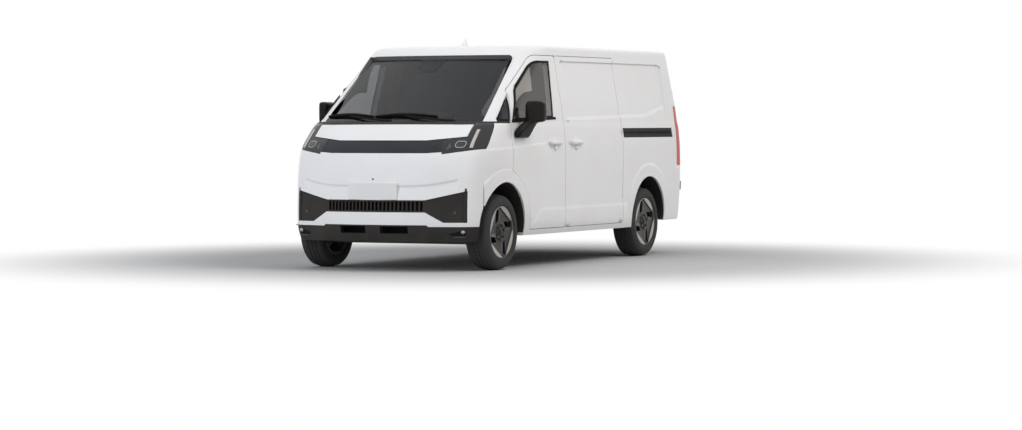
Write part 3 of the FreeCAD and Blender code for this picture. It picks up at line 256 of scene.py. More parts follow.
@dataclass(frozen=True)
class Finish:
    """A surface finish, made once into a material."""

    name: str
    colour: Point3
    roughness: float
    second: Optional[Point3] = None
    texture: Texture = Texture.GRAIN
    metallic: float = 0.0
    coat: float = 0.0
    sheen: float = 0.0
    transmission: float = 0.0
    grain: float = 400.0
    depth: float = 0.00001
    film: float = 0.0
    shine: float = 0.5

    def mixed(self, graph: Graph, factor: object, first: object, second: object) -> Socket:
        """Add a colour mix.

        Args:
            graph: the tree that it goes into.
            factor: the share of the second colour.
            first: a colour or a socket.
            second: a colour or a socket.

        Returns:
            The mixed colour's socket.
        """
        made = graph.node("ShaderNodeMix", data_type="RGBA")
        for name, value in (("Factor", factor), ("A", first), ("B", second)):
            if isinstance(value, Socket):
                graph.link(value, made.inputs[name])
            else:
                made.inputs[name].default_value = (*value, 1)
        return made.outputs["Result"]

    def material(self) -> bpy.types.Material:
        """Return the finish's material, building it the first time.

        Returns:
            The node material.
        """
        found = bpy.data.materials.get(self.name)
        if found:
            return found
        made = bpy.data.materials.new(self.name)
        made.use_nodes = True
        graph = Graph(made.node_tree)
        shader = made.node_tree.nodes["Principled BSDF"]
        for name, value in (("Metallic", self.metallic), ("Coat Weight", self.coat), ("Coat Roughness", 0.04),
                            ("Sheen Weight", self.sheen), ("Transmission Weight", self.transmission),
                            ("IOR", 1.33 if self.transmission else 1.45), ("Specular IOR Level", self.shine)):
            shader.inputs[name].default_value = value
        tree = cloth_weave() if self.texture is Texture.WEAVE else surface_noise()
        height, patch = graph.node("ShaderNodeGroup", {0: self.grain}, node_tree=tree).outputs[:2]
        result = self.mixed(graph, patch, self.colour, self.second or [c * 0.93 for c in self.colour])
        if self.film:
            dirt = graph.node("ShaderNodeGroup", {0: self.film}, node_tree=road_film())
            result = self.mixed(graph, dirt.outputs["Film"], result, ROAD_DUST)
        graph.link(result, shader.inputs["Base Color"])
        spread = graph.math("MULTIPLY", patch, 0.12 * self.roughness + 0.01)
        graph.link(graph.math("ADD", spread, self.roughness), shader.inputs["Roughness"])
        if self.texture is not Texture.GLASS:
            bump = graph.node("ShaderNodeBump", {"Height": height, "Distance": self.depth, "Strength": 1.0})
            graph.link(bump.outputs["Normal"], shader.inputs["Normal"])
        return made


PAINT = Finish("body_white", (0.80, 0.805, 0.815), 0.3, (0.785, 0.785, 0.79), coat=0.6, grain=900.0,
               film=0.05)
TRIM = Finish("grained_black", (0.022, 0.020, 0.018), 0.62, (0.030, 0.027, 0.024), grain=420.0,
              depth=0.0004, film=0.05, shine=0.3)
GLOSS = Finish("gloss_black", (0.010, 0.010, 0.011), 0.16, (0.012, 0.011, 0.011), shine=0.3)
SATIN = Finish("satin_black", (0.013, 0.0125, 0.012), 0.45, (0.016, 0.015, 0.014), grain=700.0,
               depth=0.0001, film=0.02, shine=0.12)
CASE = Finish("mirror_case", (0.010, 0.009, 0.008), 0.24, (0.013, 0.011, 0.010), shine=0.15)
BAND = Finish("band_grey", (0.026, 0.027, 0.031), 0.5, shine=0.3)
LAMP = Finish("lamp_smoke", (0.026, 0.029, 0.032), 0.1, shine=0.4)
# Also paints the highlight on the fog sockets' lower lip.
LAMP_WELL = Finish("lamp_well", (0.075, 0.076, 0.078), 0.3)
LIGHT_BAR = Finish("light_bar", (0.52, 0.48, 0.42), 0.35, coat=0.4, depth=0.00002)
CHROME = Finish("lamp_chrome", (0.42, 0.41, 0.40), 0.2, metallic=0.9)
TAIL_RED = Finish("tail_red", (0.62, 0.05, 0.035), 0.2, (0.5, 0.035, 0.03), coat=0.8, grain=140.0,
                  depth=0.0003)
SCREEN_GLASS = Finish("screen_glass", (0.20, 0.215, 0.24), 0.01, (0.195, 0.21, 0.235), Texture.GLASS,
                      transmission=1.0)
SIDE_GLASS = Finish("side_glass", (0.60, 0.575, 0.54), 0.01, (0.59, 0.565, 0.53), Texture.GLASS,
                    transmission=1.0)
PLATE = Finish("plate_grey", (0.77, 0.765, 0.765), 0.45, (0.75, 0.745, 0.745), grain=500.0,
               depth=0.00005, film=0.05)
RUBBER = Finish("seal_rubber", (0.009, 0.009, 0.009), 0.7, grain=700.0, depth=0.0002, shine=0.2)
TYRE = Finish("tyre_rubber", (0.009, 0.0085, 0.008), 0.75, (0.014, 0.013, 0.012), grain=260.0,
              depth=0.0003, film=0.03, shine=0.1)
ALLOY_DARK = Finish("alloy_dark", (0.019, 0.018, 0.017), 0.35, (0.026, 0.024, 0.022), metallic=0.1,
                    grain=300.0, depth=0.00003, film=0.05, shine=0.35)
ALLOY_CUT = Finish("alloy_cut", (0.40, 0.375, 0.345), 0.32, (0.35, 0.33, 0.30), metallic=0.7,
                   grain=500.0, depth=0.00003, film=0.05)
# Bluish grey, far lighter than the dark alloy: paints the highlight on the wheel blades' lit side faces.
ALLOY_FACET_HIGHLIGHT = Finish("alloy_facet", (0.085, 0.095, 0.115), 0.35, (0.07, 0.078, 0.095), metallic=0.3,
                     depth=0.00003)
STEEL = Finish("cast_steel", (0.05, 0.05, 0.05), 0.6, (0.09, 0.075, 0.065), metallic=0.4, grain=180.0,
               depth=0.0006, film=0.3)
CASING = Finish("plain_casing", (0.12, 0.12, 0.125), 0.5, (0.09, 0.09, 0.09), metallic=0.5, grain=220.0,
                depth=0.0004, film=0.2)
DASH = Finish("dash_grain", (0.035, 0.034, 0.033), 0.7, (0.045, 0.043, 0.041), grain=800.0, depth=0.0003)
TAN = Finish("tan_lining", (0.30, 0.245, 0.19), 0.85, (0.35, 0.29, 0.23), Texture.WEAVE, grain=220.0,
             depth=0.0002)
BOARD = Finish("tan_board", (0.22, 0.185, 0.15), 0.6, (0.19, 0.16, 0.13), grain=350.0, depth=0.0002)
MAT = Finish("floor_rubber", (0.04, 0.04, 0.04), 0.75, (0.07, 0.066, 0.062), grain=240.0, depth=0.0005)
HIDE = Finish("helm_leather", (0.03, 0.029, 0.028), 0.5, (0.045, 0.042, 0.04), grain=500.0, depth=0.0005)
CLOTH = Finish("seat_cloth", (0.30, 0.24, 0.18), 0.85, (0.38, 0.31, 0.24), Texture.WEAVE, sheen=0.3,
               grain=170.0, depth=0.0007)
SCREEN = Finish("display_black", (0.012, 0.014, 0.018), 0.15, coat=0.5)
MIRROR = Finish("mirror_glass", (0.82, 0.84, 0.85), 0.03, metallic=1.0, depth=0.000001)


# Meshes

def merged(node: str) -> Mesh:
    """Copy a CAD node's mesh and weld it.

    Args:
        node: the CAD node.

    Returns:
        The welded copy.
    """
    mesh = bmesh.new()
    mesh.from_mesh(frame["nodes"][node].data)
    bmesh.ops.remove_doubles(mesh, verts=mesh.verts, dist=1e-5)
    bmesh.ops.dissolve_degenerate(mesh, dist=2e-5, edges=mesh.edges)
    return mesh


def hosted(name: str, mesh: Mesh) -> bpy.types.Object:
    """Put a mesh into the scene as an object.

    Args:
        name: the object's name.
        mesh: the mesh, freed here.

    Returns:
        The new object.
    """
    data = bpy.data.meshes.new(name)
    mesh.to_mesh(data)
    mesh.free()
    made = bpy.data.objects.new(name, data)
    bpy.context.scene.collection.objects.link(made)
    return made


def evaluated(made: bpy.types.Object) -> bpy.types.Mesh:
    """An object's mesh as its modifiers leave it."""
    return bpy.data.meshes.new_from_object(made.evaluated_get(bpy.context.evaluated_depsgraph_get()))


def taken(*made: bpy.types.Object) -> Mesh:
    """Take an object's evaluated mesh out of the scene.

    Args:
        made: the object, and helpers that are removed with it.

    Returns:
        The mesh.
    """
    plain = evaluated(made[0])
    result = bmesh.new()
    result.from_mesh(plain)
    bpy.data.meshes.remove(plain)
    for each in made:
        data = each.data
        bpy.data.objects.remove(each)
        bpy.data.meshes.remove(data)
    return result


def piece(name: str, mesh: Mesh, finish: Finish, body: str,
          angle: float = 32.0, replaces: Sequence[str] = ()) -> bpy.types.Object:
    """Turn a mesh into a finished piece that rides a body.

    Args:
        name: the piece's name.
        mesh: its geometry, freed here.
        finish: its material.
        body: the CAD body that it rides.
        angle: edges sharper than this stay sharp, in degrees.
        replaces: CAD nodes that it stands for.

    Returns:
        The new object.
    """
    made = hosted(name, mesh)
    made.data.shade_smooth()
    made.data.set_sharp_from_angle(angle=math.radians(angle))
    made.data.materials.append(finish.material())
    weigh = made.modifiers.new("weigh", "WEIGHTED_NORMAL")
    weigh.mode, weigh.keep_sharp = "FACE_AREA", True
    data = evaluated(made)
    made.modifiers.clear()
    made.data = data
    data.name = name
    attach(made, body)
    if replaces:
        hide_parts(*replaces)
    log.info("%s on %s: %d faces", name, body, len(data.polygons))
    return made


def pair(name: str, mesh: Mesh, finish: Finish, node: str = "",
         angle: float = 32.0) -> None:
    """Place a left-hand piece and its mirror image.

    Args:
        name: the pieces' name, before the hand.
        mesh: the left one's geometry, freed here.
        finish: their material.
        node: the CAD node, before the hand, that they ride with, or none for the body shell.
        angle: edges sharper than this stay sharp, in degrees.
    """
    mirrored = flipped(mesh)
    for hand, part in (("left", mesh), ("right", mirrored)):
        piece(f"{name}_{hand}", part, finish, body_of(f"{node}_{hand}") if node else "root", angle)


def dress(node: str, finish: Finish) -> None:
    """Give a CAD node's own object a finish.

    Args:
        node: the CAD node.
        finish: its material.
    """
    slots = frame["nodes"][node].data.materials
    slots.clear()
    slots.append(finish.material())


def body_of(node: str) -> str:
    """The CAD body that a node belongs to."""
    return frame["nodes"][node]["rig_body"]


def smooth_copy(node: str, finish: Finish, angle: float = 32.0) -> bpy.types.Object:
    """A welded, smoothly shaded copy of a node, shown in its place."""
    return piece(f"{node}_skin", merged(node), finish, body_of(node), angle, (node,))


def loft(rings: Sequence[Sequence[Vector]], caps: bool = True) -> Mesh:
    """Join rings of equally many points into a surface.

    Args:
        rings: the rings in order, each closed on itself.
        caps: whether the first and last rings are filled.

    Returns:
        The mesh, its faces pointing outwards.
    """
    mesh = bmesh.new()
    rows = [[mesh.verts.new(point) for point in ring] for ring in rings]
    count = len(rows[0])
    for low, high in zip(rows, rows[1:]):
        for index in range(count):
            after = (index + 1) % count
            mesh.faces.new((low[index], low[after], high[after], high[index]))
    if caps:
        mesh.faces.new(list(reversed(rows[0])))
        mesh.faces.new(rows[-1])
    else:
        bmesh.ops.remove_doubles(mesh, verts=mesh.verts, dist=WELD)
    bmesh.ops.recalc_face_normals(mesh, faces=mesh.faces)
    return mesh


def turns(count: int) -> list[float]:
    """Evenly spaced angles of a full turn."""
    return [2 * math.pi * step / count for step in range(count)]


def turned(profile: Sequence[Point2], steps: int = 96) -> Mesh:
    """Turn a closed profile of (radius, Y) pairs about the Y axis."""
    return loft([[Vector((radius * math.cos(angle), out, radius * math.sin(angle)))
                  for radius, out in profile] for angle in (*turns(steps), 2 * math.pi)], caps=False)


def slab(outline: Sequence[Vector], push: Vector) -> Mesh:
    """Push a flat outline into a solid."""
    return loft([list(outline), [point + push for point in outline]])


def rounded_box(low: Point3, high: Point3, radius: float, segments: int = 3) -> Mesh:
    """A box with all its edges rounded.

    Args:
        low: its lowest corner.
        high: its highest corner.
        radius: the edges' radius.
        segments: how many facets round an edge.

    Returns:
        The closed mesh.
    """
    mesh = bmesh.new()
    bmesh.ops.create_cube(mesh, size=1)
    low, high = Vector(low), Vector(high)
    size = high - low
    bmesh.ops.transform(mesh, matrix=Matrix.Translation((low + high) / 2) @ Matrix.Diagonal((*size, 1)),
                        verts=mesh.verts)
    bmesh.ops.bevel(mesh, geom=list(mesh.edges), offset=min(radius, min(size) * 0.49),
                    segments=segments, affect="EDGES", profile=0.5)
    return mesh


def ball(centre: Vector, radii: Point3, sides: int, rings: int) -> Mesh:
    """An ellipsoid.

    Args:
        centre: its middle.
        radii: its three radii.
        sides: facets round its equator.
        rings: facets from pole to pole.

    Returns:
        The closed mesh.
    """
    mesh = bmesh.new()
    bmesh.ops.create_uvsphere(mesh, u_segments=sides, v_segments=rings, radius=1.0)
    bmesh.ops.transform(mesh, matrix=Matrix.Translation(centre) @ Matrix.Diagonal((*radii, 1)),
                        verts=mesh.verts)
    return mesh


def joined(meshes: Iterable[Mesh]) -> Mesh:
    """Put several meshes into one.

    Args:
        meshes: the meshes, freed here.

    Returns:
        The whole.
    """
    whole = bmesh.new()
    for mesh in meshes:
        data = bpy.data.meshes.new("part")
        mesh.to_mesh(data)
        mesh.free()
        whole.from_mesh(data)
        bpy.data.meshes.remove(data)
    return whole


def carved(mesh: Mesh, cutter: Mesh) -> Mesh:
    """Cut one mesh out of another and free both.

    Args:
        mesh: the closed mesh to cut.
        cutter: the closed mesh that is taken away.

    Returns:
        What is left.
    """
    blank, knife = hosted("blank", mesh), hosted("cutter", cutter)
    cut = blank.modifiers.new("cut", "BOOLEAN")
    cut.operation, cut.solver, cut.object = "DIFFERENCE", "EXACT", knife
    return taken(blank, knife)


def evened(name: str, mesh: Mesh, voxel: float) -> bpy.types.Object:
    """Put a closed mesh into the scene, remade in even facets.

    Args:
        name: the object's name.
        mesh: the mesh, freed here.
        voxel: the size of the facets.

    Returns:
        The object, with its remesh modifier.
    """
    made = hosted(name, mesh)
    remesh = made.modifiers.new("even", "REMESH")
    remesh.mode, remesh.voxel_size = "VOXEL", voxel
    return made


def eased(mesh: Mesh, rounds: int) -> Mesh:
    """Smooth a mesh.

    Args:
        mesh: the mesh to smooth.
        rounds: how many times.

    Returns:
        The same mesh.
    """
    for _ in range(rounds):
        bmesh.ops.smooth_vert(mesh, verts=mesh.verts, factor=0.5, use_axis_x=True, use_axis_y=True,
                              use_axis_z=True)
    return mesh


def thickened(mesh: Mesh, drop: Callable[[bmesh.types.BMVert], Vector]) -> Mesh:
    """Close an open sheet with an underside and a rim.

    Args:
        mesh: the sheet.
        drop: tells how far below a point its twin on the underside lies.

    Returns:
        The same mesh, closed.
    """
    top = mesh.faces[:]
    rim = [edge for edge in mesh.edges if len(edge.link_faces) == 1]
    base = bmesh.ops.duplicate(mesh, geom=mesh.verts[:] + mesh.edges[:] + top)
    under = [item for item in base["geom"] if isinstance(item, bmesh.types.BMFace)]
    pairs = base["vert_map"]
    for vert in {vert for face in under for vert in face.verts}:
        vert.co -= drop(vert)
    bmesh.ops.reverse_faces(mesh, faces=under)
    for edge in rim:
        loop = edge.link_loops[0]
        first, second = loop.vert, loop.link_loop_next.vert
        mesh.faces.new((second, first, pairs[first], pairs[second]))
    return mesh


def softened(mesh: Mesh, voxel: float, rounds: int) -> Mesh:
    """Remake a closed mesh in even facets and round its edges."""
    return eased(taken(evened("rough", mesh, voxel)), rounds)


def lined(node: str, keep: Callable[[Vector, Vector], bool], gap: float, thick: float) -> Mesh:
    """A thin sheet laid over some faces of a CAD node.

    Args:
        node: the CAD node.
        keep: tells from a face's middle and normal whether it is covered.
        gap: how far the sheet's face stands off the node.
        thick: the sheet's thickness.

    Returns:
        The closed sheet.
    """
    mesh = merged(node)
    mesh.normal_update()
    bmesh.ops.delete(mesh, geom=[face for face in mesh.faces
                                 if not keep(face.calc_center_median(), face.normal)], context="FACES")
    mesh.normal_update()
    for vert in mesh.verts:
        vert.co += vert.normal * gap
    return thickened(mesh, lambda vert: vert.normal * thick)


def flipped(mesh: Mesh) -> Mesh:
    """The same mesh on the van's other side.

    Args:
        mesh: the mesh, left as it is.

    Returns:
        Its mirror image.
    """
    copy = mesh.copy()
    for vert in copy.verts:
        vert.co.y = -vert.co.y
    bmesh.ops.reverse_faces(copy, faces=copy.faces)
    return copy


def tube(points: Sequence[Vector], radii: Sequence[Point2], up: Vector, sides: int = 12) -> Mesh:
    """A bar along points, oval in section.

    Args:
        points: the centreline.
        radii: half width and half height at each point.
        up: the direction of the height.
        sides: corners of the section.

    Returns:
        The closed mesh.
    """
    rings = []
    for index, point in enumerate(points):
        along = (points[min(index + 1, len(points) - 1)] - points[max(index - 1, 0)]).normalized()
        across = along.cross(up).normalized()
        rise = across.cross(along).normalized()
        wide, tall = radii[index]
        rings.append([point + across * wide * math.cos(turn) + rise * tall * math.sin(turn)
                      for turn in turns(sides)])
    return loft(rings)


# Repeats

def array_tree(name: str, around: bool) -> bpy.types.NodeTree:
    """A tree that repeats its own mesh, round an axle along Y or along a line.

    Args:
        name: the tree's name.
        around: True for a ring, False for a line.

    Returns:
        The geometry tree, with Count, Start, Step and Finish inputs.
    """
    if name in bpy.data.node_groups:
        return bpy.data.node_groups[name]
    tree = bpy.data.node_groups.new(name, "GeometryNodeTree")
    face = tree.interface
    for label, kind in (("Geometry", "Geometry"), ("Count", "Int"), ("Start", "Vector"), ("Step", "Vector"),
                        ("Finish", "Material")):
        face.new_socket(label, in_out="INPUT", socket_type=f"NodeSocket{kind}")
    face.new_socket("Geometry", in_out="OUTPUT", socket_type="NodeSocketGeometry")
    graph = Graph(tree)
    given, leave = graph.node("NodeGroupInput"), graph.node("NodeGroupOutput")
    index = graph.node("GeometryNodeInputIndex").outputs[0]
    offset = graph.node("ShaderNodeVectorMath", {0: given.outputs["Step"], "Scale": index},
                        operation="SCALE").outputs[0]
    value = graph.node("ShaderNodeVectorMath", {0: given.outputs["Start"], 1: offset},
                       operation="ADD").outputs[0]
    points = graph.node("GeometryNodePoints", {"Count": given.outputs["Count"]})
    if not around:
        graph.link(value, points.inputs["Position"])
    copies = graph.node("GeometryNodeInstanceOnPoints", {
        "Points": points.outputs[0], "Instance": given.outputs["Geometry"]})
    if around:
        graph.link(value, copies.inputs["Rotation"])
    real = graph.node("GeometryNodeRealizeInstances", {0: copies.outputs[0]})
    done = graph.node("GeometryNodeSetMaterial", {
        "Geometry": real.outputs[0], "Material": given.outputs["Finish"]})
    graph.link(done.outputs[0], leave.inputs[0])
    return tree


def repeated(mesh: Mesh, count: int, start: Point3, step: Point3, finish: Finish,
             around: bool = False) -> Mesh:
    """Repeat a mesh with the array tree and return the plain result.

    Args:
        mesh: one copy, freed here.
        count: how many copies.
        start: the first copy's turn or shift.
        step: the turn or shift from copy to copy.
        finish: the copies' material.
        around: True to turn copies about the origin's Y axis, False to shift them.

    Returns:
        One mesh with every copy.
    """
    host = hosted("unit", mesh)
    tree = array_tree("ring_array" if around else "line_array", around)
    modifier = host.modifiers.new("array", "NODES")
    modifier.node_group = tree
    names = {item.name: item.identifier for item in tree.interface.items_tree
             if item.in_out == "INPUT"}
    for name, value in (("Count", count), ("Start", start), ("Step", step), ("Finish", finish.material())):
        modifier[names[name]] = value
    bpy.context.view_layer.update()
    return taken(host)


# Pieces that lie on a panel

class Way(Enum):
    """The direction from which an outline is thrown onto a panel."""

    FRONT = (1, 0, 0)
    LEFT = (0, 1, 0)
    BACK = (-1, 0, 0)

    def out(self) -> Vector:
        """The direction towards whoever looks."""
        return Vector(self.value)

    def spot(self, first: float, second: float) -> Vector:
        """A drawn point on the plane through the origin."""
        return Vector((first, 0, second)) if self is Way.LEFT else Vector((0, first, second))


class Surface:
    """The outside of some CAD nodes, for laying pieces on."""

    def __init__(self, *nodes: str) -> None:
        """Gather the faces of CAD nodes."""
        self.tree = BVHTree.FromBMesh(joined(merged(node) for node in nodes))

    def at(self, way: Way, first: float, second: float, proud: float = 0.0) -> Optional[Vector]:
        """The point seen from a side at Y, or X from the left, and Z, or None where nothing is hit."""
        hit = self.tree.ray_cast(way.spot(first, second) + way.out() * THROW, -way.out())[0]
        return hit + way.out() * proud if hit else None

    def patch(self, way: Way, outline: Sequence[Point2], proud: float, depth: float,
              pitch: float = 0.03) -> Mesh:
        """A plate that follows the panel inside an outline.

        Args:
            way: the side that the outline is drawn from.
            outline: corners, as (Y or X, Z).
            proud: how far its face stands off the panel.
            depth: its thickness.
            pitch: the size of its facets.

        Returns:
            The closed plate.
        """
        mesh = bmesh.new()
        mesh.faces.new([mesh.verts.new((first, second, 0)) for first, second in outline])
        for axis, normal in enumerate((Vector((1, 0, 0)), Vector((0, 1, 0)))):
            values = [point[axis] for point in outline]
            cut = math.floor(min(values) / pitch) * pitch + pitch
            while cut < max(values):
                bmesh.ops.bisect_plane(mesh, geom=mesh.verts[:] + mesh.edges[:] + mesh.faces[:],
                                       plane_co=normal * cut, plane_no=normal, dist=WELD)
                cut += pitch
        out = way.out()
        last = Vector()
        for vert in mesh.verts:
            found = self.at(way, vert.co.x, vert.co.y, proud)
            last = found or way.spot(vert.co.x, vert.co.y) + out * last.dot(out)
            vert.co = last
        bmesh.ops.recalc_face_normals(mesh, faces=mesh.faces)
        if sum(face.normal.dot(out) for face in mesh.faces) < 0:
            bmesh.ops.reverse_faces(mesh, faces=mesh.faces)
        thickened(mesh, lambda vert: out * depth)
        bmesh.ops.recalc_face_normals(mesh, faces=mesh.faces)
        return mesh

    def band(self, way: Way, outer: Sequence[Point2], inner: Sequence[Point2], proud: float,
             depth: float, pitch: float = 0.04) -> Mesh:
        """A frame between two like outlines that follows the panel.

        Args:
            way: the side that the outlines are drawn from.
            outer: corners of the outer edge.
            inner: corners of the inner edge, as many.
            proud: how far its face stands off the panel.
            depth: its thickness.
            pitch: the longest step along an edge.

        Returns:
            The closed frame.
        """
        out, count, rings = way.out(), len(outer), []
        for index in range(count):
            after = (index + 1) % count
            steps = max(1, math.ceil(math.dist(outer[index], outer[after]) / pitch))
            for share in (step / steps for step in range(steps)):
                drawn = [[start + (end - start) * share for start, end in zip(loop[index], loop[after])]
                         for loop in (outer, inner)]
                spots = [self.at(way, *point, proud) for point in drawn]
                known = [spot.dot(out) for spot in spots if spot]
                if not known:
                    continue
                if len(known) < 2 or abs(known[0] - known[1]) > JUMP:
                    spots = [way.spot(*point) + out * max(known) for point in drawn]
                rings.append([*spots, spots[1] - out * depth, spots[0] - out * depth])
        return loft([*rings, rings[0]], caps=False)


def round_outline(centre: Point2, radius: float) -> list[Point2]:
    """Corners of a round outline."""
    return [(centre[0] + radius * math.cos(turn), centre[1] + radius * math.sin(turn)) for turn in turns(20)]


def bordered(outline: Sequence[Point2], width: float) -> list[Point2]:
    """An outline drawn in, or out for a negative width, by an even border.

    Args:
        outline: the corners.
        width: how far it is drawn in.

    Returns:
        The new corners.
    """
    count = len(outline)
    turn = math.copysign(1, sum(start[0] * end[1] - end[0] * start[1]
                                for start, end in zip(outline, [*outline[1:], outline[0]])))
    result = []
    for index, corner in enumerate(outline):
        spot = Vector(corner)
        back = (Vector(outline[index - 1]) - spot).normalized() * turn
        ahead = (Vector(outline[(index + 1) % count]) - spot).normalized() * turn
        left, right = Vector((back.y, -back.x)), Vector((-ahead.y, ahead.x))
        middle = (left + right).normalized()
        result.append(tuple(spot + middle * width / max(MITRE, middle.dot(left))))
    return result


def bent(outline: Sequence[Point2], which: int, reach: float, steps: int = 8) -> list[Point2]:
    """An outline with one corner drawn as a smooth bend.

    Args:
        outline: the corners.
        which: the corner to bend.
        reach: how far along its two sides the bend runs.
        steps: how many parts the bend has.

    Returns:
        The new outline.
    """
    tip = Vector(outline[which])
    start = tip + (Vector(outline[which - 1]) - tip).normalized() * reach
    end = tip + (Vector(outline[(which + 1) % len(outline)]) - tip).normalized() * reach
    shares = [step / steps for step in range(steps + 1)]
    bend = [tuple(start * (1 - share) ** 2 + tip * 2 * share * (1 - share) + end * share ** 2)
            for share in shares]
    return [*outline[:which], *bend, *outline[which + 1:]]


def smoothstep(value: float) -> float:
    """A smooth rise from 0 to 1."""
    value = min(1.0, max(0.0, value))
    return value * value * (3 - 2 * value)

def squarish(value: float) -> float:
    """A sine or cosine pushed outwards, for a round with flattened sides."""
    return math.copysign(abs(value) ** 0.8, value)



# Body

@dataclass
class Bodywork:
    """Painted panels, with the pressed lines that run across them."""

    arch_z: float = 0.382
    flare_radius: float = 0.506
    flare_rise: float = 0.011
    flare_blend: float = 0.016
    flare_foot: Point2 = (0.36, 0.25)
    axles: tuple[float, float] = (1.688, -1.424)
    waist: tuple[Point2, Point2] = ((2.03, 1.050), (0.40, 1.130))
    waist_rise: float = 0.008
    waist_start: Point2 = (0.74, 0.22)
    waist_fall: Point2 = (0.03, 0.3)
    crease: float = 0.014
    sill_line: float = 0.515
    sill_rise: float = 0.006
    sill_span: Point2 = (-0.95, 1.19)
    sill_fade: float = 0.1
    sill_drop: float = 0.17
    sill_bend: Point2 = (1.24, 0.32)
    smile_low: float = 0.742
    smile_half: float = 0.755
    smile_rise: float = 0.010
    smile_flat: float = 0.45
    smile_lift: float = 0.055
    smile_fall: float = 0.1
    nose_top: float = 0.95
    lining: tuple[float, float, float] = (0.3865, 0.004, 0.007)
    lining_gap: float = 0.012
    liner_y: float = 0.80
    panel_y: float = 0.85
    side_y: float = 0.93
    arch_steps: int = 60
    leg_steps: int = 9
    leg_pitch: float = 0.025
    press: tuple[Point2, ...] = ((0.3825, 1.304), (-1.414, 1.338), (-1.918, 1.425), (-1.918, 1.850))
    press_corner: float = 0.045
    press_top: float = 1.850
    bevel_width: float = 0.034
    bevel_rise: float = 0.0132
    dishes: tuple[Point2, ...] = ((0.6925, 1.100), (0.2425, 1.100))
    dish_radius: float = 0.050
    dish_stretch: float = 1.15
    dish_soft: float = 0.03
    dish_depth: float = 0.0035
    fine: float = 0.009
    coarse: float = 0.07
    cuts: int = 6
    panels: tuple[str, ...] = (
        "side_left", "side_right", "wing_left", "wing_right", "front_door_left", "front_door_right",
        "sliding_door_left", "sliding_door_right", "front_bumper", "bonnet", "roof", "tail_door_left",
        "tail_door_right", "tail_beam")

    def flare(self, x: float, z: float) -> tuple[float, float]:
        """The wheel arches' raised rings.

        Args:
            x: place along the van.
            z: height.

        Returns:
            The rise there, and the distance to the nearest crease.
        """
        rise, near = 0.0, 1.0
        for axle in self.axles:
            radius = math.hypot(x - axle, z - self.arch_z)
            away = abs(radius - self.flare_radius)
            fade = smoothstep((z - self.flare_foot[0]) / self.flare_foot[1])
            rise += self.flare_rise * fade * smoothstep((self.flare_radius - radius) / self.flare_blend + 0.5)
            if fade:
                near = min(near, away)
        return rise, near

    def side(self, x: float, z: float) -> tuple[float, float]:
        """All pressed lines of the body's sides.

        Args:
            x: place along the van.
            z: height.

        Returns:
            The rise there, and the distance to the nearest crease.
        """
        rise, near = self.flare(x, z)
        (front, front_z), (back, back_z) = self.waist
        if back - 0.2 < x < front:
            line = front_z + (back_z - front_z) * (front - x) / (front - back)
            fade = smoothstep((x - self.waist_start[0]) / self.waist_start[1])
            fall, depth = self.waist_fall
            step = smoothstep((line - z) / self.crease + 0.5) * (1 - smoothstep((line - z - fall) / depth))
            rise -= self.waist_rise * fade * step
            near = min(near, abs(line - z) / max(fade, 0.3))
        between = math.prod(smoothstep(inside / self.sill_fade) for inside in
                            (self.sill_span[1] - x, x - self.sill_span[0]))
        if between:
            bend = smoothstep((self.sill_bend[0] - x) / self.sill_bend[1])
            line = self.sill_line - self.sill_drop * (1 - bend)
            rise += self.sill_rise * between * smoothstep((line - z) / 0.03 + 0.5)
            near = min(near, abs(line - z))
        for dish_x, dish_z in self.dishes:
            away = math.hypot((x - dish_x) / self.dish_stretch, z - dish_z) - self.dish_radius
            if away < self.dish_radius:
                rise -= self.dish_depth * smoothstep(0.5 - away / self.dish_soft)
                near = min(near, abs(away))
        return rise, near

    def bevel(self, x: float, z: float) -> tuple[float, float]:
        """The slope round the pressed panel's lower and rear edges.

        Args:
            x: place along the van.
            z: height.

        Returns:
            The rise out of the panel's bed, and the distance to the nearest crease.
        """
        away = []
        for start, end in zip(self.press, self.press[1:]):
            run, up = end[0] - start[0], end[1] - start[1]
            away.append(((x - start[0]) * up - (z - start[1]) * run) / math.hypot(run, up))
        low, back = min(away[:2]), away[2]
        inside = min(low, back)
        if max(low, back) < self.press_corner:
            inside = self.press_corner - math.hypot(self.press_corner - low, self.press_corner - back)
        top, front = self.press_top - z, self.press[0][0] - x
        if inside < -0.01 or top < 0.0 or front < 0.0:
            return 0.0, 1.0
        rise = self.bevel_rise * (1 - min(1.0, max(0.0, inside / self.bevel_width)))
        return rise, min(abs(inside), abs(inside - self.bevel_width))

    def nose(self, y: float, z: float) -> tuple[float, float]:
        """The soft fascia line across the bumper.

        Args:
            y: place across the van.
            z: height.

        Returns:
            The rise there, and the distance to the nearest crease.
        """
        across = min(1.0, abs(y) / self.smile_half)
        bow = max(0.0, (across - self.smile_flat) / (1 - self.smile_flat))
        line = self.smile_low + self.smile_lift * bow ** 2
        inside = smoothstep((self.smile_half - abs(y)) / 0.02 + 0.5)
        fall = 1 - smoothstep((line - z - 0.01) / self.smile_fall)
        rise = -self.smile_rise * inside * smoothstep((line - z) / self.crease + 0.5) * fall
        near = min(abs(z - line), abs(abs(y) - self.smile_half) if z < line else 1.0)
        return rise, near if z < self.nose_top else 1.0

    def pressed(self, node: str) -> Mesh:
        """A panel's mesh, cut finer near its pressed lines and moved to them.

        Args:
            node: the CAD panel.

        Returns:
            The new mesh.
        """
        mesh = merged(node)
        ahead = node == "front_bumper"
        shape = self.nose if ahead else self.side

        def spot(point: Vector) -> Point2:
            """The point's place in the view that the lines are drawn in."""
            return (point.y, point.z) if ahead else (point.x, point.z)

        def outer() -> set[bmesh.types.BMVert]:
            """Find the points of the panel's outside.

            Returns:
                The points.
            """
            mesh.normal_update()
            return {vert for face in mesh.faces for vert in face.verts
                    if (face.normal.x if ahead else face.normal.y * math.copysign(
                        1, face.calc_center_median().y)) > FACING}

